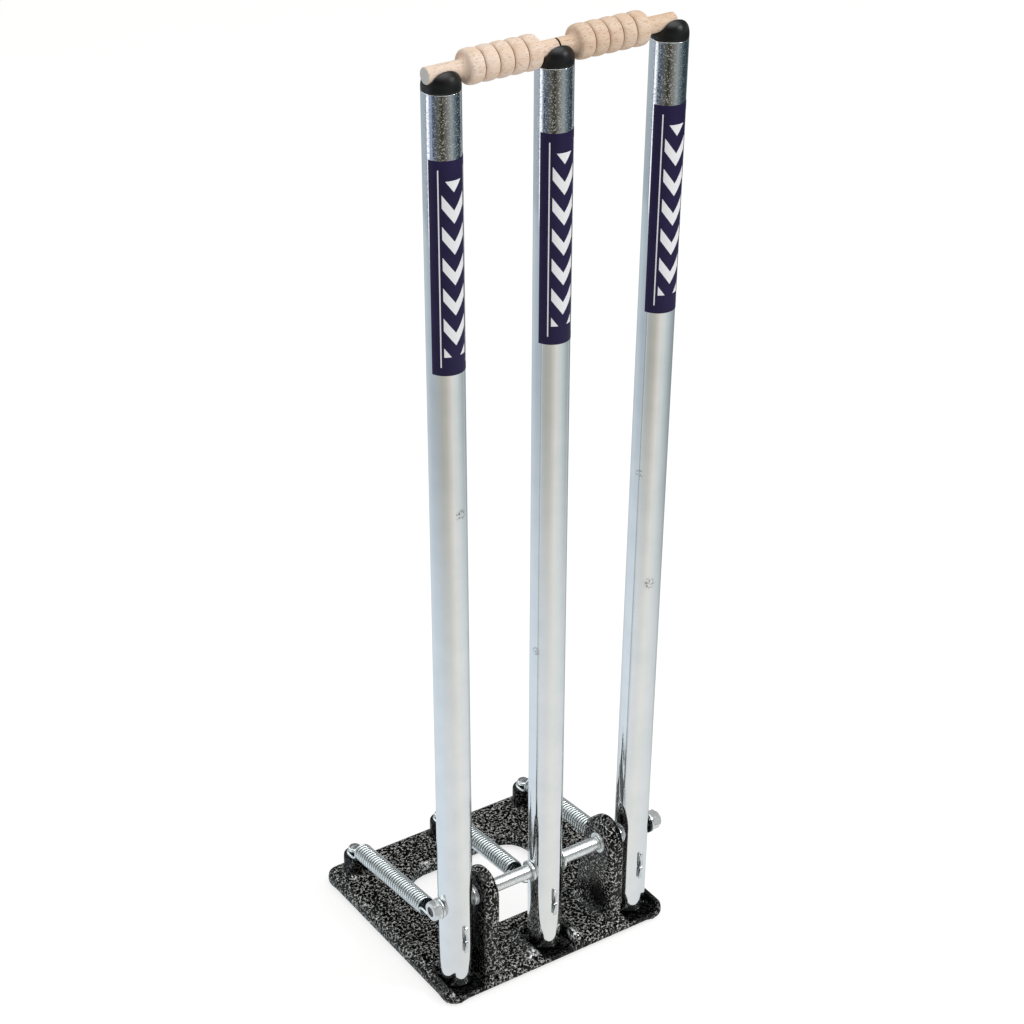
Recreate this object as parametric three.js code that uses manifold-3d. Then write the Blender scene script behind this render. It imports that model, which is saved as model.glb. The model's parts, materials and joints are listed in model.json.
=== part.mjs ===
// A set of three spring-back cricket stumps on a cast base, with two loose bails.
// Lengths are in millimetres and angles in degrees. +Z is up, the stumps stand in a row along X,
// and the bowler's side is -Y. Places are first counted from the middle stump's foot on the floor;
// the last lines move the whole set, so that the origin is the middle of its footprint.

import * as THREE from 'three';
import { mergeVertices } from 'three/addons/utils/BufferGeometryUtils.js';
import Module from 'manifold-3d';

// Clearances
const gap = 0.3;
const cutOverrun = 3;
const weldTolerance = 0.0005;

// Stump tubes
const tubeDiameter = 25.4;
const tubeWall = 1.5;
const tubeLength = 692;
const tubeFootHeight = 8;
const stumpPitch = 79.2;
const stumpLeans = [-0.38, 0, 0.92];

// Pivot bolt through the stumps and the lugs
const pivotHeight = 77;
const boltDiameter = 8;
const boltHoleClearance = 0.6;
const headAcrossFlats = 13;
const headHeight = 5.2;
const headDishDiameter = 9;
const headDishDepth = 0.9;
const flangeDiameter = 15.4;
const flangeThickness = 1.3;
const nutHeight = 6.6;
const nutCollarDiameter = 11.6;
const nutCollarHeight = 1.5;
const washerDiameter = 16;
const washerThickness = 1.6;
const sleeveDiameter = 10.6;

// Base plate
const plateTop = 12.3;
const plateUnderside = 2.2;
const plateCornerRadius = 9;
const plateEdgeRadius = 5;
const frontLipDepth = 9.3;
const outerRimWidth = 6;
const postDistance = 145;
const rearMargin = 16;
const windowWidth = 105;
const windowFrontDistance = 32.5;
const windowPostMargin = 26;
const windowFrontCornerRadius = 34;
const windowRearCornerRadius = 20;
const footDiameter = 21;
const footTaper = 0.5;

// Pockets for the feet of the stumps
const pocketFloor = 5.5;
const pocketLip = 6.4;
const pocketLipSlope = 7;
const outerPocketRoom = 0.6;
const middlePocketRoom = 2;
const ridgeDiameter = 9;
const ridgeRise = 2.5;
const ridgeFrontMargin = 1.5;

// Lugs that carry the pivot bolt
const lugThickness = 13;
const lugHeadRadius = 18;
const lugHeadSetback = 2.4;
const lugHeadDrop = 0;
const lugFrontFoot = 15.5;
const lugRearFoot = 33;
const lugEdgeRadius = 3;
const lugFilletRadius = 8;

// Posts that hold the rear ends of the springs
const postDiameter = 18;
const postTop = 29.7;
const postFilletRadius = 4;
const postEdgeRadius = 1.5;
const screwDiameter = 6;
const screwLength = 16;
const screwHeadDiameter = 10.4;
const screwHeadHeight = 2.6;
const screwHeadEdge = 1.1;
const screwHeadLift = 0.3;
const screwSlotWidth = 1.3;
const screwSlotDepth = 1.3;
const screwSlotTurn = 18;

// Split pins
const pinHeight = 49.5;
const pinRadius = 1.7;
const pinSplit = 0.1;
const pinEyeRadius = 2.8;
const pinBendRadius = 0.8;
const pinUpperLeg = 12;
const pinLowerLeg = 10;

// Return springs
const wireDiameter = 2;
const coilDiameter = 14.5;
const coilTurns = 31;
const coilStepsPerTurn = 8;
const coilSides = 5;
const ringSweep = 280;
const ringSteps = 10;
const bendSteps = 4;
const eyeHookClearance = 0.8;
const screwHookClearance = 0.5;
const coilFrontReach = 15.2;
const coilRearReach = 10.2;
const coilFrontDrop = 3.5;

// Rubber caps
const capHeight = 13.6;
const capRimHeight = 1.5;
const capStemLength = 18;
const capDomeSteps = 7;
const capDomePower = 3;
const capDomeFlatness = 2.2;
const grooveCentreHeight = 10.2;
const grooveClearance = 0.5;

// Bails
const spigotDiameter = 11;
const barrelDiameter = 22.8;
const beadCount = 5;
const beadLength = 10.6;
const beadGrooveDepth = 2.2;
const beadShares = [0, 0.15, 0.5, 0.85];
const leftOuterSpigotLength = 27.5;
const leftInnerSpigotLength = 15.2;
const rightOuterSpigotLength = 24.5;
const rightInnerSpigotLength = 13;
const spigotEndRadius = 0.9;
const spigotFlareRadius = 1.8;
const barrelEndRadius = 1.3;
const bailsMeetAt = 0.95;

// Facets round each kind of turned piece
const tubeSegments = 28;
const domeSegments = 24;
const bailSegments = 18;
const shankSegments = 16;
const washerSegments = 16;
const holeSegments = 12;
const postSegments = 16;
const arcSteps = 5;
const edgeSteps = 2;

// Sizes that follow from the ones above
const tubeRadius = tubeDiameter / 2;
const boltRadius = boltDiameter / 2;
const boltHoleRadius = boltRadius + boltHoleClearance;
const tubeFootOffset = tubeFootHeight - pivotHeight;
const tubeTopOffset = tubeFootOffset + tubeLength;
const tubeTopHeight = tubeFootHeight + tubeLength;
const lugOuterFace = stumpPitch - tubeRadius - 2 * washerThickness - 3 * gap;
const lugInnerFace = lugOuterFace - lugThickness;
const lugMiddle = (lugOuterFace + lugInnerFace) / 2;
const tubeSide = stumpPitch + tubeRadius;
const endWasher = tubeSide + gap;
const flangeFace = endWasher + washerThickness + gap;
const nutFace = flangeFace + washerThickness + gap;
const nutEnd = nutFace + nutHeight + nutCollarHeight;
const boltEnd = nutEnd + gap;
const headFace = flangeFace + flangeThickness + headHeight;
const outerPocketWall = tubeSide + outerPocketRoom;
const middlePocketWall = tubeRadius + middlePocketRoom;
const pocketRear = tubeRadius + gap;
const plateHalfWidth = outerPocketWall + outerRimWidth;
const plateFront = -tubeRadius - frontLipDepth;
const plateRear = postDistance + rearMargin;
const windowRear = postDistance - windowPostMargin;
const wireRadius = wireDiameter / 2;
const coilRadius = coilDiameter / 2 - wireRadius;
const springRingHeight = postTop + gap + wireRadius;
const screwHeadBase = springRingHeight + wireRadius + screwHeadLift;
const pinEyeCentre = tubeRadius + gap + pinEyeRadius + pinRadius;
const grooveRadius = spigotDiameter / 2 + grooveClearance;
const barrelLength = beadCount * beadLength;
const stumpPlaces = [-stumpPitch, 0, stumpPitch];

const wasm = await Module();
wasm.setup();

// Makes a solid of a closed geometry: equal corners are merged and flat slivers are dropped.
function solidOf(geometry) {
  const bare = geometry.clone();
  bare.deleteAttribute('normal');
  bare.deleteAttribute('uv');
  const merged = mergeVertices(bare, weldTolerance);
  const corners = merged.index.array;
  const kept = [];
  for (let i = 0; i < corners.length; i += 3) {
    const [a, b, c] = [corners[i], corners[i + 1], corners[i + 2]];
    if (a !== b && b !== c && c !== a) {
      kept.push(a, b, c);
    }
  }
  return new wasm.Manifold(new wasm.Mesh({
    numProp: 3,
    vertProperties: new Float32Array(merged.attributes.position.array),
    triVerts: new Uint32Array(kept),
  }));
}

// Makes a geometry of a solid.
function geometryOf(solid) {
  const mesh = solid.getMesh();
  const geometry = new THREE.BufferGeometry();
  geometry.setAttribute('position', new THREE.BufferAttribute(new Float32Array(mesh.vertProperties), 3));
  geometry.setIndex(new THREE.BufferAttribute(new Uint32Array(mesh.triVerts), 1));
  geometry.computeVertexNormals();
  return geometry;
}

function joined(solids) {
  return solids.reduce((whole, solid) => whole.add(solid));
}

function cut(solid, tools) {
  return tools.reduce((rest, tool) => rest.subtract(tool), solid);
}

function moved(geometry, x, y, z) {
  return geometry.translate(x, y, z);
}

// A geometry made along Y is turned so that it runs along X, and one made along Z likewise.
const alongX = new THREE.Matrix4().makeBasis(
  new THREE.Vector3(0, -1, 0),
  new THREE.Vector3(1, 0, 0),
  new THREE.Vector3(0, 0, 1),
);
const sideways = new THREE.Matrix4().makeBasis(
  new THREE.Vector3(0, 1, 0),
  new THREE.Vector3(0, 0, 1),
  new THREE.Vector3(1, 0, 0),
);

// A rod along X from start to end, round its own axis.
function rodX(radius, start, end, segments) {
  const rod = new THREE.CylinderGeometry(radius, radius, end - start, segments);
  return rod.applyMatrix4(alongX).translate((start + end) / 2, 0, 0);
}

// A rod along Z from bottom to top, round its own axis.
function rodZ(bottomRadius, topRadius, bottom, top, segments) {
  const rod = new THREE.CylinderGeometry(topRadius, bottomRadius, top - bottom, segments);
  return rod.rotateX(Math.PI / 2).translate(0, 0, (bottom + top) / 2);
}

// A block between two corners.
function block(x0, x1, y0, y1, z0, z1) {
  const box = new THREE.BoxGeometry(x1 - x0, y1 - y0, z1 - z0);
  return box.translate((x0 + x1) / 2, (y0 + y1) / 2, (z0 + z1) / 2);
}

// A profile of [radius, height] pairs, from the bottom up, turned round Z.
function turned(profile, segments) {
  const points = profile.map(([radius, height]) => new THREE.Vector2(radius, height));
  return new THREE.LatheGeometry(points, segments).rotateX(Math.PI / 2);
}

// The points of an arc as [radius, height] pairs, for a turned profile.
function arc(centreRadius, centreHeight, radius, fromAngle, toAngle, steps) {
  return Array.from({ length: steps + 1 }, (_, i) => {
    const angle = THREE.MathUtils.degToRad(fromAngle + ((toAngle - fromAngle) * i) / steps);
    return [centreRadius + radius * Math.cos(angle), centreHeight + radius * Math.sin(angle)];
  });
}

// A rectangle with round corners, as a shape. The corners at y0 and at y1 have their own radii.
function roundedRectangle(path, x0, x1, y0, y1, frontRadius, rearRadius) {
  path.moveTo(x0 + frontRadius, y0);
  path.lineTo(x1 - frontRadius, y0);
  path.absarc(x1 - frontRadius, y0 + frontRadius, frontRadius, -Math.PI / 2, 0, false);
  path.lineTo(x1, y1 - rearRadius);
  path.absarc(x1 - rearRadius, y1 - rearRadius, rearRadius, 0, Math.PI / 2, false);
  path.lineTo(x0 + rearRadius, y1);
  path.absarc(x0 + rearRadius, y1 - rearRadius, rearRadius, Math.PI / 2, Math.PI, false);
  path.lineTo(x0, y0 + frontRadius);
  path.absarc(x0 + frontRadius, y0 + frontRadius, frontRadius, Math.PI, Math.PI * 1.5, false);
  return path;
}

// A shape drawn in Y and Z, extruded along X from start to end, with an edge radius if it has one.
function extrudedX(shape, start, end, edgeRadius) {
  const geometry = new THREE.ExtrudeGeometry(shape, {
    depth: end - start - 2 * edgeRadius,
    bevelEnabled: edgeRadius > 0,
    bevelThickness: edgeRadius,
    bevelSize: edgeRadius,
    bevelOffset: -edgeRadius,
    bevelSegments: edgeSteps,
    curveSegments: arcSteps * 2,
  });
  return geometry.translate(0, 0, start + edgeRadius).applyMatrix4(sideways);
}

// A closed tube of any section swept along points. Each section point is [across, outward], where
// across lies along the sideways direction and outward is square to it and to the path.
function swept(points, section, sidewaysAt) {
  const count = section.length;
  const positions = [];
  points.forEach((point, i) => {
    const before = points[Math.max(i - 1, 0)];
    const after = points[Math.min(i + 1, points.length - 1)];
    const along = after.clone().sub(before).normalize();
    const outward = new THREE.Vector3().crossVectors(along, sidewaysAt(i)).normalize();
    const across = new THREE.Vector3().crossVectors(outward, along);
    for (const [u, v] of section) {
      positions.push(...point.clone().addScaledVector(across, u).addScaledVector(outward, v).toArray());
    }
  });
  const faces = [];
  for (let i = 0; i < points.length - 1; i += 1) {
    for (let j = 0; j < count; j += 1) {
      const next = (j + 1) % count;
      const [a, b, c, d] = [i * count + j, i * count + next, (i + 1) * count + j, (i + 1) * count + next];
      faces.push(a, b, c, b, d, c);
    }
  }
  const last = (points.length - 1) * count;
  for (let j = 1; j < count - 1; j += 1) {
    faces.push(0, j + 1, j, last, last + j, last + j + 1);
  }
  const geometry = new THREE.BufferGeometry();
  geometry.setAttribute('position', new THREE.Float32BufferAttribute(positions, 3));
  geometry.setIndex(faces);
  return geometry;
}

// The points of a circle arc in a plane, from a centre and two directions.
function arcPoints(centre, right, up, radius, fromAngle, toAngle, steps) {
  return Array.from({ length: steps + 1 }, (_, i) => {
    const angle = THREE.MathUtils.degToRad(fromAngle + ((toAngle - fromAngle) * i) / steps);
    const point = centre.clone().addScaledVector(right, radius * Math.cos(angle));
    return point.addScaledVector(up, radius * Math.sin(angle));
  });
}

function ironMaterial() {
  return new THREE.MeshStandardMaterial({ color: 0x1d1d1f, roughness: 0.35, metalness: 0.6 });
}

function chromeMaterial() {
  return new THREE.MeshStandardMaterial({ color: 0xdfe3e6, roughness: 0.1, metalness: 1 });
}

function zincMaterial() {
  return new THREE.MeshStandardMaterial({ color: 0xb9c6cb, roughness: 0.3, metalness: 1 });
}

function rubberMaterial() {
  return new THREE.MeshStandardMaterial({ color: 0x17171a, roughness: 0.55, metalness: 0 });
}

function woodMaterial() {
  return new THREE.MeshStandardMaterial({ color: 0xe2c09c, roughness: 0.75, metalness: 0 });
}

function piece(name, solid, material) {
  const mesh = new THREE.Mesh(geometryOf(solid), material);
  mesh.name = name;
  return mesh;
}

// The plate, with a rounded upper edge, the open window and four low corner feet.
function plateSolid() {
  const outline = roundedRectangle(
    new THREE.Shape(), -plateHalfWidth, plateHalfWidth, plateFront, plateRear,
    plateCornerRadius, plateCornerRadius,
  );
  const window = roundedRectangle(
    new THREE.Path(), -windowWidth / 2, windowWidth / 2, windowFrontDistance, windowRear,
    windowFrontCornerRadius, windowRearCornerRadius,
  );
  outline.holes.push(window);
  const slab = new THREE.ExtrudeGeometry(outline, {
    depth: plateTop - plateUnderside - plateEdgeRadius,
    bevelThickness: plateEdgeRadius,
    bevelSize: plateEdgeRadius,
    bevelOffset: -plateEdgeRadius,
    bevelSegments: edgeSteps + 1,
    curveSegments: arcSteps,
  }).translate(0, 0, plateUnderside);
  const below = block(
    -plateHalfWidth - cutOverrun, plateHalfWidth + cutOverrun,
    plateFront - cutOverrun, plateRear + cutOverrun,
    plateUnderside - plateEdgeRadius - cutOverrun, plateUnderside,
  );
  const inset = footDiameter / 2 + footTaper;
  const feet = [-1, 1].flatMap((side) => [plateFront + inset, plateRear - inset].map((y) => {
    const foot = rodZ(footDiameter / 2 - footTaper, footDiameter / 2, 0, plateTop / 2, postSegments);
    return solidOf(moved(foot, side * (plateHalfWidth - inset), y, 0));
  }));
  return joined([cut(solidOf(slab), [solidOf(below)]), ...feet]);
}

// One lug: its outline seen from the side, a round head over a foot that widens to the rear.
function lugSolid(side) {
  const foot = (plateUnderside + plateTop) / 2 - lugEdgeRadius;
  const head = new THREE.Vector2(lugHeadSetback, pivotHeight - lugHeadDrop);
  const reach = new THREE.Vector2(lugRearFoot, foot).sub(head);
  const leave = reach.angle() - 2 * Math.PI + Math.acos(lugHeadRadius / reach.length());
  const outline = new THREE.Shape();
  outline.moveTo(-lugFrontFoot, foot);
  outline.lineTo(head.x - lugHeadRadius, head.y);
  outline.absarc(head.x, head.y, lugHeadRadius, Math.PI, leave, true);
  outline.lineTo(lugRearFoot, foot);
  const middle = side * lugMiddle;
  return solidOf(extrudedX(outline, middle - lugThickness / 2, middle + lugThickness / 2, lugEdgeRadius));
}

// A hollow fillet along the foot of one face of a lug, drawn in X and Z and run along Y.
function lugFillet(face, outward) {
  const sunk = plateTop - plateUnderside;
  const profile = new THREE.Shape();
  profile.moveTo(-lugEdgeRadius, -sunk / 2);
  profile.lineTo(lugFilletRadius, -sunk / 2);
  profile.lineTo(lugFilletRadius, 0);
  profile.absarc(lugFilletRadius, lugFilletRadius, lugFilletRadius, -Math.PI / 2, -Math.PI, true);
  profile.lineTo(-lugEdgeRadius, lugFilletRadius);
  const start = lugEdgeRadius - lugFrontFoot;
  const end = lugRearFoot - lugFilletRadius / 2;
  const strip = new THREE.ExtrudeGeometry(profile, {
    depth: end - start,
    bevelEnabled: false,
    curveSegments: arcSteps,
  });
  strip.rotateX(Math.PI / 2).translate(0, end, plateTop);
  const turn = outward > 0 ? 0 : Math.PI;
  strip.translate(0, -(start + end) / 2, 0).rotateZ(turn).translate(face, (start + end) / 2, 0);
  return solidOf(strip);
}

// One post for a spring: a round column with a hollow fillet at its foot.
function postSolid(x) {
  const radius = postDiameter / 2;
  const profile = [
    [0, plateUnderside + gap],
    [radius + postFilletRadius, plateUnderside + gap],
    ...arc(
      radius + postFilletRadius, plateTop + postFilletRadius, postFilletRadius, -90, -180, arcSteps - 1,
    ),
    ...arc(radius - postEdgeRadius, postTop - postEdgeRadius, postEdgeRadius, 0, 90, edgeSteps),
    [0, postTop],
  ];
  return solidOf(moved(turned(profile, postSegments), x, postDistance, 0));
}

// The ridges that guide the foot of the middle stump.
function ridgeSolid(side) {
  const radius = ridgeDiameter / 2;
  const front = plateFront + ridgeFrontMargin + radius;
  const rear = pocketRear;
  const ridge = new THREE.CapsuleGeometry(radius, rear - front, 3, 12);
  return solidOf(moved(
    ridge, side * (middlePocketWall + radius), (front + rear) / 2, plateTop + ridgeRise - radius,
  ));
}

// What is cut out for the foot of one stump: a step down behind the front lip.
function pocketCut(left, right) {
  const above = plateTop + ridgeRise + cutOverrun;
  const profile = new THREE.Shape();
  profile.moveTo(plateFront - cutOverrun, pocketLip);
  profile.lineTo(plateFront + (frontLipDepth - pocketLipSlope) / 2, pocketLip);
  profile.lineTo(plateFront + pocketLipSlope, pocketFloor);
  profile.lineTo(pocketRear, pocketFloor);
  profile.lineTo(pocketRear, above);
  profile.lineTo(plateFront - cutOverrun, above);
  return solidOf(extrudedX(profile, left, right, 0));
}

function baseCasting() {
  const bore = moved(
    rodX(boltHoleRadius, -lugOuterFace - cutOverrun, lugOuterFace + cutOverrun, holeSegments), 0, 0, pivotHeight,
  );
  const screwHoles = stumpPlaces.map((x) => moved(
    rodZ(
      screwDiameter / 2 + gap, screwDiameter / 2 + gap,
      postTop - screwLength, postTop + cutOverrun, holeSegments,
    ), x, postDistance, 0,
  ));
  const whole = joined([
    plateSolid(),
    ...[-1, 1].map(lugSolid),
    ...[-1, 1].flatMap((side) => [
      lugFillet(side * lugInnerFace, -side),
      lugFillet(side * lugOuterFace, side),
    ]),
    ...[-1, 1].map(ridgeSolid),
    ...stumpPlaces.map(postSolid),
  ]);
  return piece('base_casting', cut(whole, [
    pocketCut(-outerPocketWall, -lugOuterFace),
    pocketCut(-middlePocketWall, middlePocketWall),
    pocketCut(lugOuterFace, outerPocketWall),
    solidOf(bore),
    ...screwHoles.map(solidOf),
  ]), ironMaterial());
}

// The pieces on the pivot, each placed along X from the face that it rests on.
function washer(name, start) {
  const rim = washerDiameter / 2;
  const bore = boltRadius + gap;
  const profile = [
    [bore, 0],
    [rim, 0],
    [rim, washerThickness],
    [bore, washerThickness],
    [bore, 0],
  ];
  const ring = turned(profile, washerSegments).rotateY(Math.PI / 2);
  return piece(name, solidOf(moved(ring, start, 0, pivotHeight)), zincMaterial());
}

function sleeve(name, start, end) {
  const bore = boltRadius + gap;
  const profile = [
    [bore, start],
    [sleeveDiameter / 2, start],
    [sleeveDiameter / 2, end],
    [bore, end],
    [bore, start],
  ];
  const tube = turned(profile, shankSegments).rotateY(Math.PI / 2);
  return piece(name, solidOf(moved(tube, 0, 0, pivotHeight)), zincMaterial());
}

// A hexagonal block along X.
function hexagon(start, end) {
  const corner = headAcrossFlats / Math.sqrt(3);
  return solidOf(rodX(corner, start, end, 6));
}

function pivotBolt() {
  const shank = solidOf(rodX(boltRadius, -flangeFace - gap, boltEnd, shankSegments));
  const flange = solidOf(rodX(flangeDiameter / 2, -flangeFace - flangeThickness, -flangeFace, shankSegments));
  const head = hexagon(-headFace, -flangeFace - flangeThickness / 2);
  const dish = solidOf(
    new THREE.CylinderGeometry(
      headDishDiameter / 2 - headDishDepth, headDishDiameter / 2 + headDishDepth, 2 * headDishDepth, shankSegments,
    ).applyMatrix4(alongX).translate(-headFace, 0, 0),
  );
  const bolt = cut(joined([shank, flange, head]), [dish]);
  return piece('pivot_bolt', bolt.translate(0, 0, pivotHeight), zincMaterial());
}

function pivotNut() {
  const body = hexagon(nutFace, nutFace + nutHeight);
  const collar = solidOf(rodX(nutCollarDiameter / 2, nutFace + nutHeight / 2, nutEnd, shankSegments));
  const bore = solidOf(rodX(boltRadius + gap, nutFace - cutOverrun, nutEnd + cutOverrun, shankSegments));
  return piece('pivot_nut', cut(joined([body, collar]), [bore]).translate(0, 0, pivotHeight), zincMaterial());
}

function pivotPieces() {
  const pair = washerThickness + gap;
  const middleWasher = tubeRadius + gap;
  const lugWasher = lugInnerFace - gap - washerThickness;
  const washerPlaces = [
    -endWasher - washerThickness,
    -lugOuterFace - gap - washerThickness - pair,
    -lugOuterFace - gap - washerThickness,
    -middleWasher - washerThickness,
    middleWasher,
    lugWasher,
    lugOuterFace + gap,
    lugOuterFace + gap + pair,
    endWasher,
    flangeFace,
  ];
  return [
    pivotBolt(),
    pivotNut(),
    sleeve('spacer_sleeve_left', gap - lugInnerFace, -middleWasher - washerThickness - gap),
    sleeve('spacer_sleeve_right', middleWasher + washerThickness + gap, lugWasher - gap),
    ...washerPlaces.map((start, i) => washer(`pivot_washer_${i + 1}`, start)),
  ];
}

// A slotted screw that holds the rear ring of a spring on its post.
function springScrew(name, x) {
  const head = screwHeadDiameter / 2;
  const shank = screwDiameter / 2;
  const top = screwHeadBase + screwHeadHeight;
  const profile = [
    [0, postTop - screwLength + gap],
    [shank, postTop - screwLength + gap],
    [shank, screwHeadBase],
    [head, screwHeadBase],
    ...arc(head - screwHeadEdge, top - screwHeadEdge, screwHeadEdge, 0, 90, edgeSteps),
    [0, top],
  ];
  const slot = block(
    -head - cutOverrun, head + cutOverrun,
    -screwSlotWidth / 2, screwSlotWidth / 2,
    top - screwSlotDepth, top + cutOverrun,
  ).rotateZ(THREE.MathUtils.degToRad(screwSlotTurn));
  const screw = cut(solidOf(turned(profile, shankSegments)), [solidOf(slot)]);
  return piece(name, screw.translate(x, postDistance, 0), zincMaterial());
}

// The centre line of a return spring, in the plane of its own stump: a ring through the eye of the
// split pin, the close coil, and a ring round the screw on the post.
function springLine() {
  const right = new THREE.Vector3(1, 0, 0);
  const rearward = new THREE.Vector3(0, 1, 0);
  const hook = pinEyeCentre + pinEyeRadius - wireRadius - eyeHookClearance;
  const frontRing = new THREE.Vector3(0, hook + coilRadius, pinHeight);
  const rearShift = coilRadius - wireRadius - screwDiameter / 2 - screwHookClearance;
  const rearRing = new THREE.Vector3(0, postDistance - rearShift, springRingHeight);
  const coilFront = new THREE.Vector3(0, frontRing.y + coilFrontReach, pinHeight - coilFrontDrop);
  const coilRear = new THREE.Vector3(0, rearRing.y - coilRearReach, springRingHeight + coilRadius);
  const axis = coilRear.clone().sub(coilFront).normalize();
  const up = new THREE.Vector3().crossVectors(right, axis);

  const front = arcPoints(frontRing, right, rearward, coilRadius, 180 + ringSweep, 180, ringSteps);
  const rear = arcPoints(rearRing, right, rearward, coilRadius, 180, 180 - ringSweep, ringSteps);
  const coil = Array.from({ length: coilTurns * coilStepsPerTurn + 1 }, (_, i) => {
    const angle = Math.PI + (2 * Math.PI * i) / coilStepsPerTurn;
    const centre = coilFront.clone().lerp(coilRear, i / (coilTurns * coilStepsPerTurn));
    return centre.addScaledVector(right, coilRadius * Math.cos(angle)).addScaledVector(up, coilRadius * Math.sin(angle));
  });
  const frontBend = bend(front.at(-1), rearward, coil[0], up.clone().negate());
  const rearBend = bend(coil.at(-1), up.clone().negate(), rear[0], rearward);
  return [
    straightEnd(front[1], front[0]),
    ...front,
    ...frontBend,
    ...coil,
    ...rearBend,
    ...rear,
    straightEnd(rear.at(-2), rear.at(-1)),
  ];
}

// The points between two ends of a bent wire, which leaves one way and arrives another.
function bend(start, leave, end, arrive) {
  const pull = start.distanceTo(end) / 2;
  const curve = new THREE.CubicBezierCurve3(
    start,
    start.clone().addScaledVector(leave, pull),
    end.clone().addScaledVector(arrive, -pull / 2),
    end,
  );
  return curve.getPoints(bendSteps).slice(1, -1);
}

// The wire's own end, one diameter beyond its last bend.
function straightEnd(before, last) {
  return last.clone().addScaledVector(last.clone().sub(before).normalize(), wireDiameter);
}

// The least space between turns of a wire, measured on its centre line's points.
function leastGap(points) {
  let least = Infinity;
  points.forEach((point, i) => {
    for (let j = i + coilStepsPerTurn / 2; j < points.length; j += 1) {
      least = Math.min(least, point.distanceTo(points[j]) - wireDiameter);
    }
  });
  return least;
}

function springSolid() {
  const line = springLine();
  console.log(`return spring: least gap to itself ${leastGap(line).toFixed(2)} mm`);
  const section = Array.from({ length: coilSides }, (_, i) => {
    const angle = (2 * Math.PI * i) / coilSides;
    return [wireRadius * Math.cos(angle), wireRadius * Math.sin(angle)];
  });
  const sides = carriedSideways(line);
  return solidOf(swept(line, section, (i) => sides[i]));
}

// A sideways direction for each point of a line, carried along it without twist.
function carriedSideways(points) {
  const sides = [];
  let side = new THREE.Vector3(0, 0, 1);
  points.forEach((point, i) => {
    const before = points[Math.max(i - 1, 0)];
    const after = points[Math.min(i + 1, points.length - 1)];
    const along = after.clone().sub(before).normalize();
    side = side.clone().addScaledVector(along, -side.dot(along)).normalize();
    sides.push(side);
  });
  return sides;
}

// The fold of a split pin, in the plane across the row: up the front leg's end, through the tube,
// round the eye, back through the tube and down the other leg.
function splitPin(name) {
  const thickness = pinRadius / 2;
  const apart = pinSplit + thickness;
  const legFace = -tubeRadius - gap - thickness;
  const middle = new THREE.Vector3(0, 0, 0);
  const rearward = new THREE.Vector3(0, 1, 0);
  const up = new THREE.Vector3(0, 0, 1);
  const bendRadius = pinBendRadius + thickness;
  const eyeRadius = pinEyeRadius + thickness;
  const eye = middle.clone().addScaledVector(rearward, pinEyeCentre);
  const half = THREE.MathUtils.radToDeg(Math.asin(apart / eyeRadius));
  const upperBend = new THREE.Vector3(0, legFace + bendRadius, apart + bendRadius);
  const lowerBend = new THREE.Vector3(0, legFace + bendRadius, -apart - bendRadius);
  const line = [
    new THREE.Vector3(0, legFace, pinUpperLeg),
    ...arcPoints(upperBend, rearward, up, bendRadius, 180, 270, arcSteps - 2),
    ...arcPoints(eye, rearward, up, eyeRadius, 180 - half, half - 180, arcSteps * 2),
    ...arcPoints(lowerBend, rearward, up, bendRadius, 90, 180, arcSteps - 2),
    new THREE.Vector3(0, legFace, -pinLowerLeg),
  ];
  const section = arc(0, -thickness, pinRadius, 0, 180, arcSteps - 1);
  const left = new THREE.Vector3(-1, 0, 0);
  return piece(name, solidOf(swept(line, section, () => left)), zincMaterial());
}

function stumpTube(name) {
  const inner = tubeRadius - tubeWall;
  const profile = [
    [inner, tubeFootOffset],
    [tubeRadius, tubeFootOffset],
    [tubeRadius, tubeTopOffset],
    [inner, tubeTopOffset],
    [inner, tubeFootOffset],
  ];
  const reach = tubeRadius + cutOverrun;
  const boltHole = rodX(boltHoleRadius, -reach, reach, holeSegments);
  const pinHole = rodX(pinRadius + pinSplit + gap, -reach, reach, holeSegments).rotateZ(Math.PI / 2);
  return piece(name, cut(solidOf(turned(profile, tubeSegments)), [
    solidOf(boltHole),
    solidOf(moved(pinHole, 0, 0, pinHeight - pivotHeight)),
  ]), chromeMaterial());
}

// A rubber cap: a stem inside the tube, a dome over its end and a groove across for the bails.
function topCap(name) {
  const stem = tubeRadius - tubeWall - gap;
  const domeHeight = capHeight - capRimHeight;
  const dome = Array.from({ length: capDomeSteps }, (_, i) => {
    const radius = tubeRadius * Math.cos((Math.PI / 2) * (i / capDomeSteps));
    const share = (1 - (radius / tubeRadius) ** capDomePower) ** (1 / capDomeFlatness);
    return [radius, capRimHeight + domeHeight * share];
  });
  const profile = [
    [0, -capStemLength],
    [stem, -capStemLength],
    [stem, gap],
    [tubeRadius, gap],
    ...dome,
    [0, capHeight],
  ];
  const groove = new THREE.Shape();
  groove.moveTo(-grooveRadius, capHeight + cutOverrun);
  groove.lineTo(-grooveRadius, grooveCentreHeight);
  groove.absarc(0, grooveCentreHeight, grooveRadius, Math.PI, 2 * Math.PI, false);
  groove.lineTo(grooveRadius, capHeight + cutOverrun);
  const reach = tubeRadius + cutOverrun;
  const cap = cut(solidOf(turned(profile, domeSegments)), [solidOf(extrudedX(groove, -reach, reach, 0))]);
  return piece(name, cap.translate(0, 0, tubeTopOffset), rubberMaterial());
}

// One stump turns about the pivot bolt, and its parts are placed from there.
function stump(number) {
  const group = new THREE.Group();
  const pin = splitPin(`split_pin_${number}`);
  pin.position.z = pinHeight - pivotHeight;
  group.add(stumpTube(`stump_tube_${number}`), topCap(`top_cap_${number}`), pin);
  group.position.set(stumpPlaces[number - 1], 0, pivotHeight);
  group.rotation.y = THREE.MathUtils.degToRad(stumpLeans[number - 1]);
  return group;
}

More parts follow.
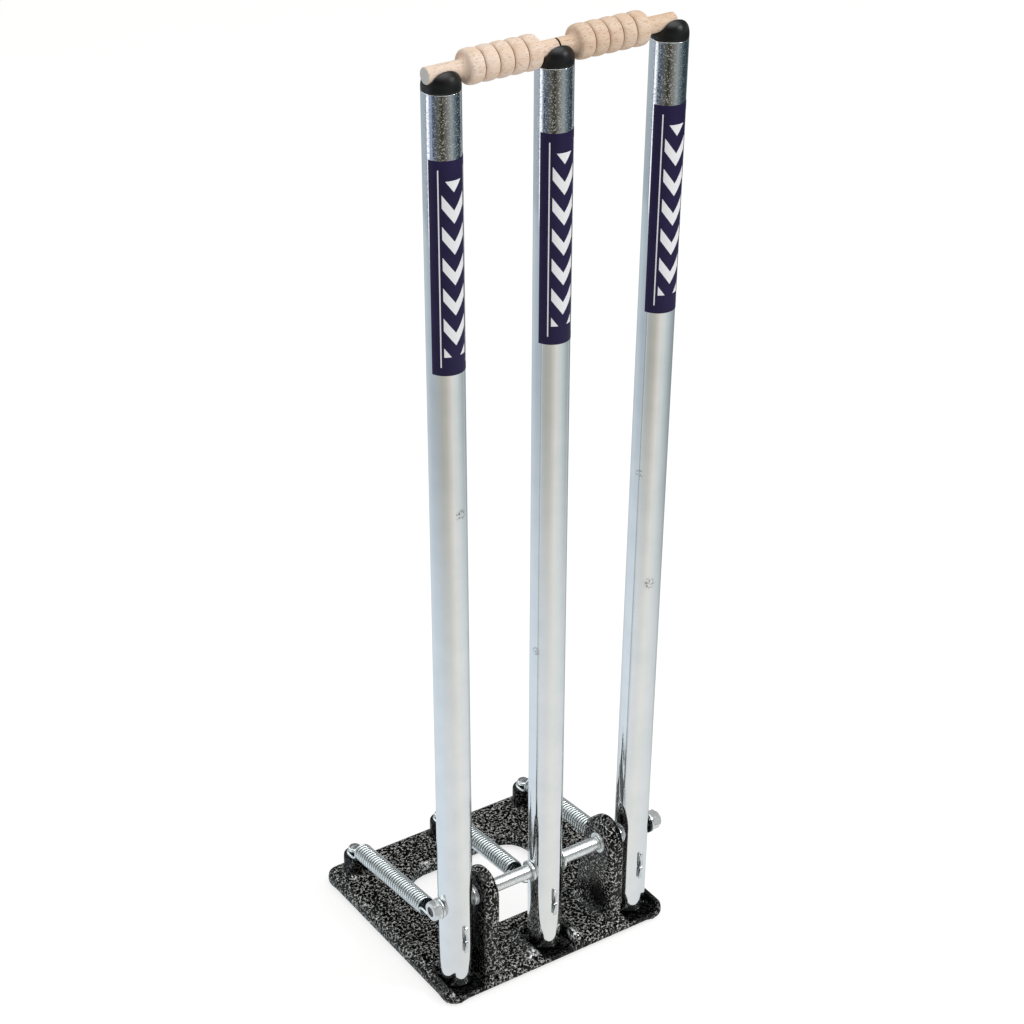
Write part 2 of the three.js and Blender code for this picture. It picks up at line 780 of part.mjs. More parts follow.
// A bail, turned from its outer end: spigot, beaded barrel, spigot.
function bail(name, side, outerLength, innerLength) {
  const spigot = spigotDiameter / 2;
  const barrel = barrelDiameter / 2;
  const barrelEnd = outerLength + barrelLength;
  const end = barrelEnd + innerLength;
  const beads = Array.from({ length: beadCount }, (_, i) => beadShares.map((share) => [
    barrel - beadGrooveDepth * Math.abs(2 * share - 1) ** 3,
    outerLength + beadLength * (i + share),
  ])).flat().slice(1);
  const profile = [
    [0, 0],
    ...arc(spigot - spigotEndRadius, spigotEndRadius, spigotEndRadius, -90, 0, edgeSteps),
    [spigot, outerLength - spigotFlareRadius],
    [spigot + spigotFlareRadius, outerLength],
    [barrel - barrelEndRadius, outerLength],
    ...beads,
    [barrel - barrelEndRadius, barrelEnd],
    [spigot + spigotFlareRadius, barrelEnd],
    [spigot, barrelEnd + spigotFlareRadius],
    ...arc(spigot - spigotEndRadius, end - spigotEndRadius, spigotEndRadius, 0, 90, edgeSteps),
    [0, end],
  ];
  const turn = turned(profile, bailSegments).rotateY((-side * Math.PI) / 2);
  const grooveHeight = tubeTopHeight + grooveCentreHeight;
  const outerEnd = bailsMeetAt + side * (gap + end);
  return piece(name, solidOf(moved(turn, outerEnd, 0, grooveHeight)), woodMaterial());
}

const returnSpring = springSolid();

const set = new THREE.Group();
set.add(
  baseCasting(),
  ...pivotPieces(),
  ...stumpPlaces.map((x, i) => springScrew(`spring_screw_${i + 1}`, x)),
  ...stumpPlaces.map((x, i) => piece(`return_spring_${i + 1}`, returnSpring.translate(x, 0, 0), zincMaterial())),
  ...stumpPlaces.map((_, i) => stump(i + 1)),
  bail('bail_left', -1, leftOuterSpigotLength, leftInnerSpigotLength),
  bail('bail_right', 1, rightOuterSpigotLength, rightInnerSpigotLength),
);
set.updateMatrixWorld(true);

// The origin is on the floor, under the middle of the set's bounding box.
const box = new THREE.Box3().setFromObject(set, true);
set.position.set(-(box.min.x + box.max.x) / 2, -(box.min.y + box.max.y) / 2, -box.min.z);

export default set;
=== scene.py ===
import json
from math import asin, cos, degrees, pi, radians, sin, sqrt

import bpy
from bpy.props import FloatProperty, FloatVectorProperty, IntProperty, PointerProperty
from bpy.types import NodeSocket, Operator, Panel, PropertyGroup
from mathutils import Matrix, Vector


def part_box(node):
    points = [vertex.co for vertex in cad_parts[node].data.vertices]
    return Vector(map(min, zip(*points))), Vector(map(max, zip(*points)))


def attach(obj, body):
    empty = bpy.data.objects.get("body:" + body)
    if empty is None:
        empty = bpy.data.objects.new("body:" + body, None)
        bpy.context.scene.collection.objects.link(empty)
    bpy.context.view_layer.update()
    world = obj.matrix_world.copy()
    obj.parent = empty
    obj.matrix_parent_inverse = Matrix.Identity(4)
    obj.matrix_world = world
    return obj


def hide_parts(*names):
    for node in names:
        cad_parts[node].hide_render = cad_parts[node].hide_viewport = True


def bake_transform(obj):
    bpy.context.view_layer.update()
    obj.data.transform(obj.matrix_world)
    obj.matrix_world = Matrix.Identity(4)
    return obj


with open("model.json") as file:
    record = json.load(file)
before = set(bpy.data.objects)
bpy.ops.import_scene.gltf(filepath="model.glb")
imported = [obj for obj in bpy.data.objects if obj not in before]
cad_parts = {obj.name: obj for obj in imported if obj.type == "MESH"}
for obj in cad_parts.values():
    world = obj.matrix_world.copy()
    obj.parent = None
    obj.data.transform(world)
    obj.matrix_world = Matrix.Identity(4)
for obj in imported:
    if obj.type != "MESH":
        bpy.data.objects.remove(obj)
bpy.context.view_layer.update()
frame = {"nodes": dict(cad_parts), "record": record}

bl_info = {
    "name": "Spring-back cricket stumps",
    "version": (1, 0, 0),
    "blender": (4, 5, 0),
    "location": "3D View > Sidebar > Stumps",
    "description": "Dresses a set of spring-back cricket stumps and lights it as a studio photograph",
    "category": "Add Mesh",
}

# Each stump turns about its own pivot on the bolt and leans a little along the row.
PIVOTS = [
    Vector(joint["pos_m"])
    for joint in frame["record"]["behaviour"]["joints"]
    if joint["type"] == "hinge"
]
LEANS = [radians(lean) for lean in (-0.38, 0.0, 0.92)]
ROW = PIVOTS[1].copy()
STUMP_FRAMES = [
    Matrix.Translation(pivot) @ Matrix.Rotation(lean, 4, "Y") for pivot, lean in zip(PIVOTS, LEANS)
]

# Points of a mesh that lie closer than this are one, and pieces that nearly touch are a gap apart.
MERGE_DISTANCE = 2e-6
GAP = 0.0003

# Heights above the floor, and how far the spring posts stand behind the pivot.
TUBE_FOOT = 0.008
TUBE_TOP = 0.7
POST_TOP = 0.0297
POST_DISTANCE = 0.145
# The groove of a cap, above the top of its tube.
GROOVE_HEIGHT = 0.0102
GROOVE_RADIUS = 0.006

# Two bails meet a little right of the middle stump's axis, each with an outer and an inner spigot.
BAIL_HEIGHT = TUBE_TOP + GROOVE_HEIGHT
BARREL_LENGTH = 0.053
BEAD_COUNT = 5
SPIGOTS = {"bail_left": (0.0275, 0.0152), "bail_right": (0.0245, 0.013)}
BAILS_MEET = 0.00095

# The bolt, from the middle stump along the row: its flange to the left, its nut and its end to the right.
HEX_WIDTH = 0.013
FLANGE_FACE = 0.0941
FLANGE_THICKNESS = 0.0013
NUT_FACE = 0.096
BOLT_END = 0.1044
WASHER_COUNT = 10
# The washer between the right stump and the nut is painted dark, as painted shade.
SHADED_WASHER = 9

# A split pin lies below the pivot, and its eye takes the front ring of the spring.
PIN_DROP = 0.0275
PIN_RADIUS = 0.0017
EYE_RADIUS = 0.0028
# The screw on the post, inside the rear ring.
SCREW_SHANK = 0.003


# Shared ways of working.


def drop_selection():
    """Leaves edit mode and deselects everything."""
    if bpy.context.object and bpy.context.object.mode != "OBJECT":
        bpy.ops.object.mode_set(mode="OBJECT")
    bpy.ops.object.select_all(action="DESELECT")


def pick(piece):
    """Makes one piece the only selected and active object."""
    drop_selection()
    piece.select_set(True)
    bpy.context.view_layer.objects.active = piece


def added(name):
    """The piece that was just added, named with its data."""
    piece = bpy.context.object
    piece.name = name
    piece.data.name = name
    return piece


def clean_faces(piece):
    """Merges double points and turns all faces outwards."""
    pick(piece)
    bpy.ops.object.mode_set(mode="EDIT")
    bpy.ops.mesh.select_all(action="SELECT")
    bpy.ops.mesh.remove_doubles(threshold=MERGE_DISTANCE)
    bpy.ops.mesh.normals_make_consistent(inside=False)
    bpy.ops.object.mode_set(mode="OBJECT")


def smooth(piece, angle):
    """Shades a piece smooth, with sharp edges past an angle."""
    pick(piece)
    bpy.ops.object.shade_smooth_by_angle(angle=radians(angle))


def set_in_place(piece, place=Matrix()):
    """Moves a piece to its place and leaves its object at the origin."""
    pick(piece)
    piece.matrix_world = place @ piece.matrix_world
    bpy.ops.object.transform_apply(location=True, rotation=True, scale=True)


def turned(name, profile, steps):
    """Spins a profile of (radius, height) pairs round Z."""
    drop_selection()
    bpy.ops.mesh.primitive_plane_add(size=0.001)
    piece = added(name)
    bpy.ops.object.mode_set(mode="EDIT")
    bpy.ops.mesh.select_all(action="SELECT")
    bpy.ops.mesh.merge(type="CENTER")
    bpy.ops.transform.translate(value=(profile[0][0], 0, profile[0][1]))
    for (radius, height), (next_radius, next_height) in zip(profile, profile[1:]):
        step = (next_radius - radius, 0, next_height - height)
        bpy.ops.mesh.extrude_vertices_move(TRANSFORM_OT_translate={"value": step})
    bpy.ops.mesh.select_all(action="SELECT")
    bpy.ops.mesh.spin(steps=steps, angle=2 * pi, center=(0, 0, 0), axis=(0, 0, 1))
    bpy.ops.object.mode_set(mode="OBJECT")
    clean_faces(piece)
    return piece


def block(name, size, centre, turn=0.0):
    """A box, turned round Z."""
    drop_selection()
    bpy.ops.mesh.primitive_cube_add(size=1)
    piece = added(name)
    piece.scale = size
    piece.location = centre
    piece.rotation_euler = (0, 0, turn)
    set_in_place(piece)
    return piece


def drawn_path(name, points, dimensions="3D"):
    """Draws a curve of straight pieces through points."""
    drop_selection()
    bpy.ops.curve.primitive_nurbs_path_add()
    path = added(name)
    path.data.splines.clear()
    path.data.dimensions = dimensions
    spline = path.data.splines.new("POLY")
    spline.points.add(len(points) - 1)
    for spline_point, place in zip(spline.points, points):
        spline_point.co = (*place, 1)
    return path


def wire(name, points, radius=0.0, section=None):
    """Bends a round wire, or one of a given section, along points and makes it a mesh."""
    curve = drawn_path(name, points).data
    if section:
        curve.bevel_mode = "OBJECT"
        curve.bevel_object = section
    else:
        curve.bevel_depth = radius
        curve.bevel_resolution = 4
    curve.use_fill_caps = True
    bpy.ops.object.convert(target="MESH")
    piece = added(name)
    clean_faces(piece)
    return piece


def modified(piece, kind, **values):
    """Adds a modifier, sets it and applies it."""
    pick(piece)
    modifier = piece.modifiers.new(kind.title(), kind)
    for key, value in values.items():
        setattr(modifier, key, value)
    bpy.ops.object.modifier_apply(modifier=modifier.name)


def carved(piece, tool, operation="DIFFERENCE"):
    """Cuts, joins or intersects a piece with a tool, which is then removed."""
    modified(piece, "BOOLEAN", object=tool, operation=operation, solver="EXACT")
    bpy.data.objects.remove(tool)


def bevelled(piece, width, angle):
    """Rounds the edges that are sharper than an angle."""
    modified(piece, "BEVEL", width=width, segments=2, limit_method="ANGLE", angle_limit=radians(angle))


def remeshed(piece, voxel_size, smoothings):
    """Builds a piece anew from small even faces with soft edges."""
    modified(piece, "REMESH", mode="VOXEL", voxel_size=voxel_size)
    modified(piece, "SMOOTH", factor=0.5, iterations=smoothings)
    pick(piece)
    bpy.ops.object.shade_smooth()


def copied(piece, name, place):
    """Copies a piece with its own mesh and sets the copy down."""
    pick(piece)
    bpy.ops.object.duplicate(linked=False)
    copy = added(name)
    set_in_place(copy, place)
    return copy


def finish(piece, body, slot, material, *nodes):
    """Gives a piece its material and body, and hides the nodes that it stands for. The slot is not used."""
    piece.data.materials.clear()
    piece.data.materials.append(material)
    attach(piece, body)
    if nodes:
        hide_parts(*nodes)


def on_each_stump(master, name, height, slot, material, node=None):
    """Sets a copy on each stump, at a height above the pivot, for the nodes of one kind, if any."""
    for number, place in enumerate(STUMP_FRAMES, 1):
        copy = copied(master, f"{name}_{number}", place @ Matrix.Translation((0, 0, height)))
        nodes = [f"{node}_{number}"] if node else []
        finish(copy, f"stump_{number}", slot, material, *nodes)
    bpy.data.objects.remove(master)


def arc(centre, radius, start, end, steps):
    """Points of an arc in a plane, in degrees."""
    angles = [radians(start + (end - start) * i / steps) for i in range(steps + 1)]
    return [
        (centre[0] + radius * cos(angle), centre[1] + radius * sin(angle)) for angle in angles
    ]


def eye_distance():
    """How far the eye of a split pin lies behind the middle of its stump."""
    return bpy.context.scene.stumps_tubes.diameter / 2 + GAP + EYE_RADIUS + PIN_RADIUS


def note_depths(piece, depths):
    """Keeps a depth for each point, from 0 to 1, which the material reads as painted shade."""
    layer = piece.data.attributes.new("depth", "FLOAT", "POINT")
    layer.data.foreach_set("value", [min(max(depth, 0.0), 1.0) for depth in depths])


# Nodes. A function that takes a socket adds its nodes to that socket's own tree.


def plug(value, socket):
    """Links a socket to a node's output, or sets it to a number, a place or a colour."""
    if isinstance(value, NodeSocket):
        socket.id_data.links.new(value, socket)
    elif socket.type == "RGBA":
        socket.default_value = (*value, 1)
    else:
        socket.default_value = value


def join(node, **sockets):
    """Plugs values into a node's sockets by name."""
    for key, value in sockets.items():
        plug(value, node.inputs[key.replace("_", " ")])


def add_node(tree, kind, *values, **named):
    """Adds a node. Values and capital names fill its sockets, in order or by name; small names set it."""
    node = tree.nodes.new(kind)
    for key, value in named.items():
        if key.islower():
            setattr(node, key, value)
        else:
            join(node, **{key: value})
    for socket, value in zip(node.inputs, values):
        plug(value, socket)
    return node


def maths(operation, *values):
    """The result of a Math node, whose first value is a socket."""
    return add_node(values[0].id_data, "ShaderNodeMath", *values, operation=operation).outputs[0]


def product(result, *factors):
    """Multiplies values."""
    for factor in factors:
        result = maths("MULTIPLY", result, factor)
    return result


def highest(result, *others):
    """The highest of several values."""
    for other in others:
        result = maths("MAXIMUM", result, other)
    return result


def inside(value, low, high):
    """1 where a value lies between two others."""
    return product(maths("GREATER_THAN", value, low), maths("LESS_THAN", value, high))


def mixed(factor, first, second, blend="MIX"):
    """Mixes two colours."""
    node = add_node(factor.id_data, "ShaderNodeMix", factor, data_type="RGBA", blend_type=blend)
    plug(first, node.inputs[6])
    plug(second, node.inputs[7])
    return node.outputs[2]


def grey(level):
    """A colour or a place with three equal parts."""
    return (level, level, level)


def ramp(factor, stops):
    """The colour of a ramp with (position, colour) stops."""
    node = add_node(factor.id_data, "ShaderNodeValToRGB", factor)
    elements = node.color_ramp.elements
    while len(elements) < len(stops):
        elements.new(0.5)
    for element, (position, colour) in zip(elements, stops):
        element.position = position
        element.color = (*colour, 1)
    return node.outputs[0]


def rise(value, low, high, at_low=0.0, at_high=1.0):
    """Runs straight from one level to another while a value runs from low to high."""
    return ramp(value, [(low, grey(at_low)), (high, grey(at_high))])


def between(value, low, high, at_low=0.0, at_high=1.0):
    """Runs softly from one level to another while a value runs from low to high."""
    levels = (value, low, high, at_low, at_high)
    return add_node(
        value.id_data, "ShaderNodeMapRange", *levels, interpolation_type="SMOOTHSTEP"
    ).outputs[0]


def object_place(tree, scale=(1, 1, 1), rotation=(0, 0, 0)):
    """Object coordinates through a Mapping node."""
    place = add_node(tree, "ShaderNodeTexCoord").outputs["Object"]
    return add_node(tree, "ShaderNodeMapping", place, Scale=scale, Rotation=rotation).outputs[0]


def noise(place, scale, detail=2.0, roughness=0.5, distortion=0.0):
    """A cloudy pattern."""
    return add_node(
        place.id_data, "ShaderNodeTexNoise", Vector=place, Scale=scale, Detail=detail,
        Roughness=roughness, Distortion=distortion,
    ).outputs[0]


def away(place, point):
    """The distance from a point."""
    return add_node(
        place.id_data, "ShaderNodeVectorMath", place, point, operation="DISTANCE"
    ).outputs["Value"]


def spots(place, table):
    """1 in the middle of each round spot in a table of centres and radii, and 0 from its edge on."""
    return highest(*(
        between(away(place, centre), radius * 0.3, radius, 1.0, 0.0) for centre, radius in table
    ))


def bump(shader, height, distance, strength=1.0):
    """Adds a bump on top of any that the shader has already."""
    node = add_node(shader.id_data, "ShaderNodeBump", Height=height, Distance=distance, Strength=strength)
    for link in list(shader.inputs["Normal"].links):
        plug(link.from_socket, node.inputs["Normal"])
    plug(node.outputs[0], shader.inputs["Normal"])


def empty_tree(data):
    """The emptied node tree of a material or a world."""
    data.use_nodes = True
    data.node_tree.nodes.clear()
    return data.node_tree


def new_material(name, **values):
    """Starts a material with one Principled shader and its constant sockets."""
    material = bpy.data.materials.new(name)
    tree = empty_tree(material)
    shader = add_node(tree, "ShaderNodeBsdfPrincipled", **values)
    add_node(tree, "ShaderNodeOutputMaterial", shader.outputs[0])
    return material, tree, shader


# Materials.

# Painted highlights: spots where the paint is painted white, part metal and glossy, with fine bumps, on two
# ridges, a lug's corner, fillets and rims.
PAINTED_GLINTS = (
    ((-0.0247, -0.0854, 0.0145), 0.0072),
    ((0.0154, -0.0841, 0.0145), 0.0078),
    ((0.0525, -0.0845, 0.0935), 0.0066),
    ((-0.0876, 0.0677, 0.0125), 0.0040),
    ((-0.0313, 0.0513, 0.0110), 0.0050),
    ((-0.0974, -0.0905, 0.0110), 0.0045),
)
# The deepest place beside the right lug, darkened as painted shade.
LUG_SHADE = (0.0469, -0.0690, 0.0270)


def hammered_paint(settings):
    """Thick black paint that has crept into islands, with silver veins between them, painted shade beside
    the right lug and painted highlights on ridges, fillets and rims.
    """
    material, tree, shader = new_material(
        "hammered_black", Specular_IOR_Level=0.0, Coat_Weight=0.5, Coat_Roughness=0.07, Coat_IOR=1.4
    )
    place = object_place(tree)
    wander = add_node(tree, "ShaderNodeTexNoise", Vector=place, Scale=300, Detail=2).outputs["Color"]
    shifted = add_node(
        tree, "ShaderNodeVectorMath", wander, grey(0.0026), place, operation="MULTIPLY_ADD"
    ).outputs[0]
    from_edge = add_node(
        tree, "ShaderNodeTexVoronoi", Vector=shifted, Scale=settings.vein_scale, feature="DISTANCE_TO_EDGE"
    ).outputs["Distance"]
    veins = ramp(from_edge, [(0.0, grey(1)), (0.05, grey(0.85)), (0.115, grey(0))])
    shine = product(veins, rise(noise(place, 420, 3, 0.6), 0.47, 0.56))

    # Spots without veins, so nearly black: round each stump's foot and round each post, and beside the right
    # lug as painted shade.
    flat = object_place(tree, (1, 1, 0))
    waver = product(noise(place, 90, 2), 0.010)
    veinless_spots = [(place, LUG_SHADE, 0.012, 0.026)]
    for pivot in PIVOTS:
        veinless_spots.append((flat, (pivot.x, pivot.y - 0.005, 0), 0.020, 0.030))
        veinless_spots.append((flat, (pivot.x, pivot.y + POST_DISTANCE, 0), 0.0125, 0.017))
    for seen, centre, bare, veined in veinless_spots:
        distance = maths("ADD", away(seen, centre), waver)
        shine = product(shine, between(distance, bare, veined, 0.05, 1.0))

    # Painted highlights: the spots turn white and glossy, over fine bumps.
    glint_spots = spots(place, PAINTED_GLINTS)
    facets = noise(place, 500, 2)
    painted_glint = product(glint_spots, between(facets, 0.48, 0.53))
    colour = mixed(shine, settings.paint_colour, settings.vein_colour)
    rough = mixed(shine, grey(0.5), grey(0.38))
    join(
        shader,
        Base_Color=mixed(painted_glint, colour, (0.97, 0.97, 0.98)),
        Roughness=mixed(painted_glint, rough, grey(0.16)),
        Metallic=highest(product(shine, 0.2), product(painted_glint, 0.35)),
    )
    bump(shader, product(facets, glint_spots), 0.0006)
    bump(shader, noise(place, 75, 2), 0.0024, 0.7)
    bump(shader, from_edge, 0.0005, 0.6)
    plug(shader.inputs["Normal"].links[0].from_socket, shader.inputs["Coat Normal"])
    return material


# Where the chrome is scuffed.
SCUFFS = (
    ((-0.0815, -0.0822, 0.408), 0.0055),
    ((0.0706, -0.0743, 0.389), 0.0045),
    ((-0.0142, -0.0726, 0.272), 0.0045),
    ((0.0771, -0.0816, 0.301), 0.0060),
)


def chrome(settings):
    """Bright chrome, pitted near the top, with small scuffs."""
    material, tree, shader = new_material("scuffed_chrome", Metallic=1.0)
    place = object_place(tree)
    cloud = rise(noise(place, 55, 3), 0.35, 0.7)
    tint = mixed(cloud, settings.chrome_colour, (0.84, 0.86, 0.87))
    rubs = noise(object_place(tree, (240, 240, 90)), 1.0, 4, 0.6)
    rough = rise(rubs, 0.55, 0.75, settings.chrome_roughness, 0.16)
    patches = rise(noise(place, 620, 3), 0.47, 0.58)
    scuffed = product(spots(place, SCUFFS), patches)
    join(
        shader,
        Base_Color=mixed(scuffed, tint, (0.42, 0.43, 0.43)),
        Roughness=highest(rough, product(scuffed, 0.4)),
    )
    height = add_node(tree, "ShaderNodeSeparateXYZ", place).outputs[2]
    pits = rise(noise(place, 1000, 2), 0.58, 0.70)
    bump(shader, product(pits, between(height, 0.60, 0.66, 0.05, 1.0)), 0.0001, 0.55)
    return material


def zinc(name, colour, roughness, metallic=0.85, painted_shade=False, dished=False):
    """Cloudy, grainy zinc plate, with painted shade where a depth is noted and in the dishes of bolt and
    nut.
    """
    material, tree, shader = new_material(name, Metallic=metallic)
    place = object_place(tree)
    dull = [channel * 0.8 for channel in colour]
    tint = mixed(rise(noise(place, 420, 3), 0.38, 0.66), colour, dull)
    if painted_shade:
        # Painted shade: dark teal where the noted depth is high.
        depth = add_node(tree, "ShaderNodeAttribute", attribute_name="depth").outputs["Fac"]
        tint = mixed(between(depth, 0.28, 0.50), tint, (0.03, 0.05, 0.055))
    if dished:
        # Painted shade in the dish, near the bolt's axis.
        from_axis = away(object_place(tree, (0, 1, 1)), (0, ROW.y, ROW.z))
        tint = mixed(between(from_axis, 0.0036, 0.0042, 1.0, 0.0), tint, grey(0.05))
    grain = noise(place, 1500, 2)
    rough = rise(grain, 0.3, 0.7, roughness * 0.7, roughness * 1.4)
    join(shader, Base_Color=tint, Roughness=rough)
    bump(shader, grain, 0.00003, 0.3)
    return material


def satin_rubber(settings):
    """Black rubber with a satin sheen and a fine moulded grain."""
    material, tree, shader = new_material("cap_rubber", Specular_IOR_Level=0.5)
    place = object_place(tree)
    cloud = noise(place, 130, 3)
    tint = mixed(cloud, settings.rubber_colour, (0.007, 0.0065, 0.006))
    join(shader, Base_Color=tint, Roughness=rise(cloud, 0.3, 0.7, 0.36, 0.44))
    bump(shader, noise(place, 2600, 2), 0.00003, 0.35)
    return material


def turned_beech(settings):
    """Pale turned beech with short brown flecks along the bail and greyer end grain."""
    material, tree, shader = new_material("turned_beech", Roughness=0.62, Specular_IOR_Level=0.3)
    broad = noise(object_place(tree, (25, 150, 150)), 1.0, 3, 0.55, 0.4)
    tint = ramp(broad, [
        (0.25, settings.wood_colour), (0.5, (0.90, 0.72, 0.58)), (0.8, (0.80, 0.58, 0.42)),
    ])
    flecks = noise(object_place(tree, (300, 1700, 1700)), 1.0, 2, 0.5)
    tint = mixed(product(rise(flecks, 0.56, 0.64), 0.5), tint, (0.46, 0.25, 0.14))

    # Dark grooves between the beads.
    along = add_node(tree, "ShaderNodeSeparateXYZ", object_place(tree)).outputs[0]
    from_middle = maths("SUBTRACT", along, ROW.x + BAILS_MEET)
    from_axis = away(object_place(tree, (0, 1, 1)), (0, ROW.y, BAIL_HEIGHT))
    shoulder = 0.002
    left, right = (GAP + spigots[1] + shoulder for spigots in SPIGOTS.values())
    length = BARREL_LENGTH - 2 * shoulder
    barrels = highest(inside(from_middle, -left - length, -left), inside(from_middle, right, right + length))
    low = between(from_axis, 0.0093, 0.0101, 1.0, 0.0)
    above_spigot = between(from_axis, 0.0084, 0.0088)
    groove = product(low, above_spigot, barrels, 0.95)
    tint = mixed(groove, tint, (0.16, 0.075, 0.035))

    # The right bail is darker. Then end grain, and painted shade: a dark rim where the bails meet.
    on_right = maths("GREATER_THAN", from_middle, 0.0)
    tint = mixed(on_right, tint, (0.90, 0.86, 0.80), "MULTIPLY")
    skin = 0.0001
    from_meeting = maths("ABSOLUTE", from_middle)
    left_end, right_end = (GAP + BARREL_LENGTH + sum(spigots) - skin for spigots in SPIGOTS.values())
    end_grain = highest(
        maths("LESS_THAN", from_meeting, GAP + skin),
        maths("LESS_THAN", from_middle, -left_end),
        maths("GREATER_THAN", from_middle, right_end),
    )
    tint = mixed(end_grain, tint, (0.62, 0.62, 0.60))
    rim = between(from_axis, 0.0042, 0.0048)
    meeting_shade = product(between(from_meeting, 0.0005, 0.0009, 1.0, 0.0), rim)
    join(shader, Base_Color=mixed(meeting_shade, tint, (0.03, 0.02, 0.012)))
    bump(shader, flecks, 0.00008, 0.4)
    return material


def label_print(settings):
    """A navy vinyl label: white chevrons in a column between thin lines."""
    material, tree, shader = new_material("label_print", Roughness=0.4, Specular_IOR_Level=0.25)
    place = add_node(tree, "ShaderNodeUVMap", uv_map="label").outputs[0]
    across, up = add_node(tree, "ShaderNodeSeparateXYZ", place).outputs[:2]
    off_centre = maths("ABSOLUTE", maths("SUBTRACT", across, 0.5))
    rows = product(up, settings.chevron_count)
    stripe = maths("FRACT", maths("SUBTRACT", rows, product(off_centre, 2.2)))
    chevrons = product(
        maths("LESS_THAN", stripe, 0.42),
        maths("LESS_THAN", off_centre, 0.24),
        inside(up, 0.09, 0.91),
    )
    lines = product(inside(off_centre, 0.29, 0.315), inside(up, 0.04, 0.96))
    cloud = noise(object_place(tree), 60, 2)
    ground = mixed(cloud, settings.label_colour, (0.014, 0.009, 0.045))
    join(shader, Base_Color=mixed(highest(chevrons, lines), ground, (0.93, 0.93, 0.95)))
    bump(shader, cloud, 0.00005, 0.2)
    return material


# Sizes and colours that a user would change.


def a_number(name, description, default, **kind):
    """A number, with its unit or subtype if it has one."""
    return FloatProperty(name=name, description=description, default=default, **kind)


def a_length(name, description, default):
    """A length in metres."""
    return a_number(name, description, default, unit="LENGTH")


def a_colour(name, description, *default):
    """A colour by its red, green and blue."""
    return FloatVectorProperty(name=name, description=description, default=default, subtype="COLOR")


class StageSettings(PropertyGroup):
    floor_size: a_length("Floor size", "Side of the square floor", 14.0)
    sheet_reach: a_length("Sheet reach", "How far the white sheet lies in front of the stumps", 1.38)
    sky_level: a_number("Sky level", "Brightness of the even studio light", 0.62)
    key_power: a_number("Key power", "Power of the large lamp overhead", 8.0, unit="POWER")
    front_power: a_number("Front power", "Power of the lamp at the front right", 6.0, unit="POWER")


class BaseSettings(PropertyGroup):
    voxel_size: a_length("Voxel size", "Grain of the remeshed casting", 0.00105)
    paint_colour: a_colour("Paint", "Colour of the black paint", 0.0015, 0.0015, 0.0016)
    vein_colour: a_colour("Veins", "Colour of the silver veins", 0.72, 0.72, 0.69)
    vein_scale: a_number("Vein scale", "Paint islands in one metre", 370.0)


class TubeSettings(PropertyGroup):
    diameter: a_length("Diameter", "Outer diameter of a stump", 0.0254)
    wall: a_length("Wall", "Wall of the tube", 0.0015)
    length: a_length("Length", "Length of the tube", 0.692)
    chrome_colour: a_colour("Chrome", "Colour of the chrome", 0.90, 0.91, 0.92)
    chrome_roughness: a_number("Roughness", "Blur of the chrome", 0.055, subtype="FACTOR")


class CapSettings(PropertyGroup):
    height: a_length("Height", "How far a cap stands above its tube", 0.0136)
    stem_length: a_length("Stem", "How far a cap reaches into its tube", 0.018)
    rubber_colour: a_colour("Rubber", "Colour of the rubber", 0.003, 0.003, 0.003)


class BailSettings(PropertyGroup):
    spigot_diameter: a_length("Spigot", "Diameter of the ends", 0.011)
    barrel_diameter: a_length("Barrel", "Diameter of the beads", 0.0228)
    wood_colour: a_colour("Wood", "Lightest colour of the beech", 0.95, 0.79, 0.67)


class LabelSettings(PropertyGroup):
    length: a_length("Length", "Height of the label", 0.146)
    base_height: a_length("Base height", "Height of the label's foot above the floor", 0.512)
    half_angle: a_number(
        "Half angle", "How far the label wraps to each side", radians(75), subtype="ANGLE"
    )
    chevron_count: a_number("Chevrons", "Chevrons on one label", 7.0)
    label_colour: a_colour("Ground", "Colour of the label's ground", 0.022, 0.014, 0.075)


class SpringSettings(PropertyGroup):
    turns: IntProperty(name="Turns", description="Turns of one coil", default=33)
    steps_per_turn: IntProperty(name="Steps", description="Points on one turn", default=24)
    wire_diameter: a_length("Wire", "Diameter of the spring wire", 0.002)
    coil_diameter: a_length("Coil", "Outer diameter of the coil", 0.0145)
    zinc_colour: a_colour("Zinc", "Colour of the spring's zinc plate", 0.93, 0.985, 0.99)


class HardwareSettings(PropertyGroup):
    bolt_diameter: a_length("Bolt", "Diameter of the pivot bolt", 0.008)
    zinc_colour: a_colour("Zinc", "Colour of the zinc plate", 0.92, 0.95, 0.95)


# The casting.


class STUMPS_OT_base(Operator):
    """Remeshes the casting with soft edges and paints it"""

    bl_idname = "stumps.add_base"
    bl_label = "Cast base"

    def execute(self, context):
        settings = context.scene.stumps_base
        source = frame["nodes"]["base_casting"]
        casting = bpy.data.objects.new("cast_base", source.data.copy())
        context.collection.objects.link(casting)
        clean_faces(casting)
        remeshed(casting, settings.voxel_size, smoothings=5)
        finish(casting, "base", "casting", hammered_paint(settings), "base_casting")
        return {"FINISHED"}


# The stumps.


class STUMPS_OT_tubes(Operator):
    """Adds the three chromed tubes"""

    bl_idname = "stumps.add_tubes"
    bl_label = "Chromed tubes"

    def execute(self, context):
        settings = context.scene.stumps_tubes
        outer = settings.diameter / 2
        inner = outer - settings.wall
        foot = TUBE_FOOT - ROW.z
        top = foot + settings.length
        edge, beside_bolt = 0.0003, 0.012
        heights = (foot + edge, -beside_bolt, beside_bolt, top - edge - 0.001)
        tube = turned("tube_master", [
            (inner, foot + edge), (inner + edge, foot), (outer - edge, foot),
            *[(outer, height) for height in heights],
            *arc((outer - edge, top - edge), edge, 0, 90, 3),
            (inner + edge, top), (inner, top - edge), (inner, foot + edge),
        ], 96)
        smooth(tube, 40)
        on_each_stump(tube, "chromed_tube", 0, "chromed_tube", chrome(settings), "stump_tube")
        return {"FINISHED"}


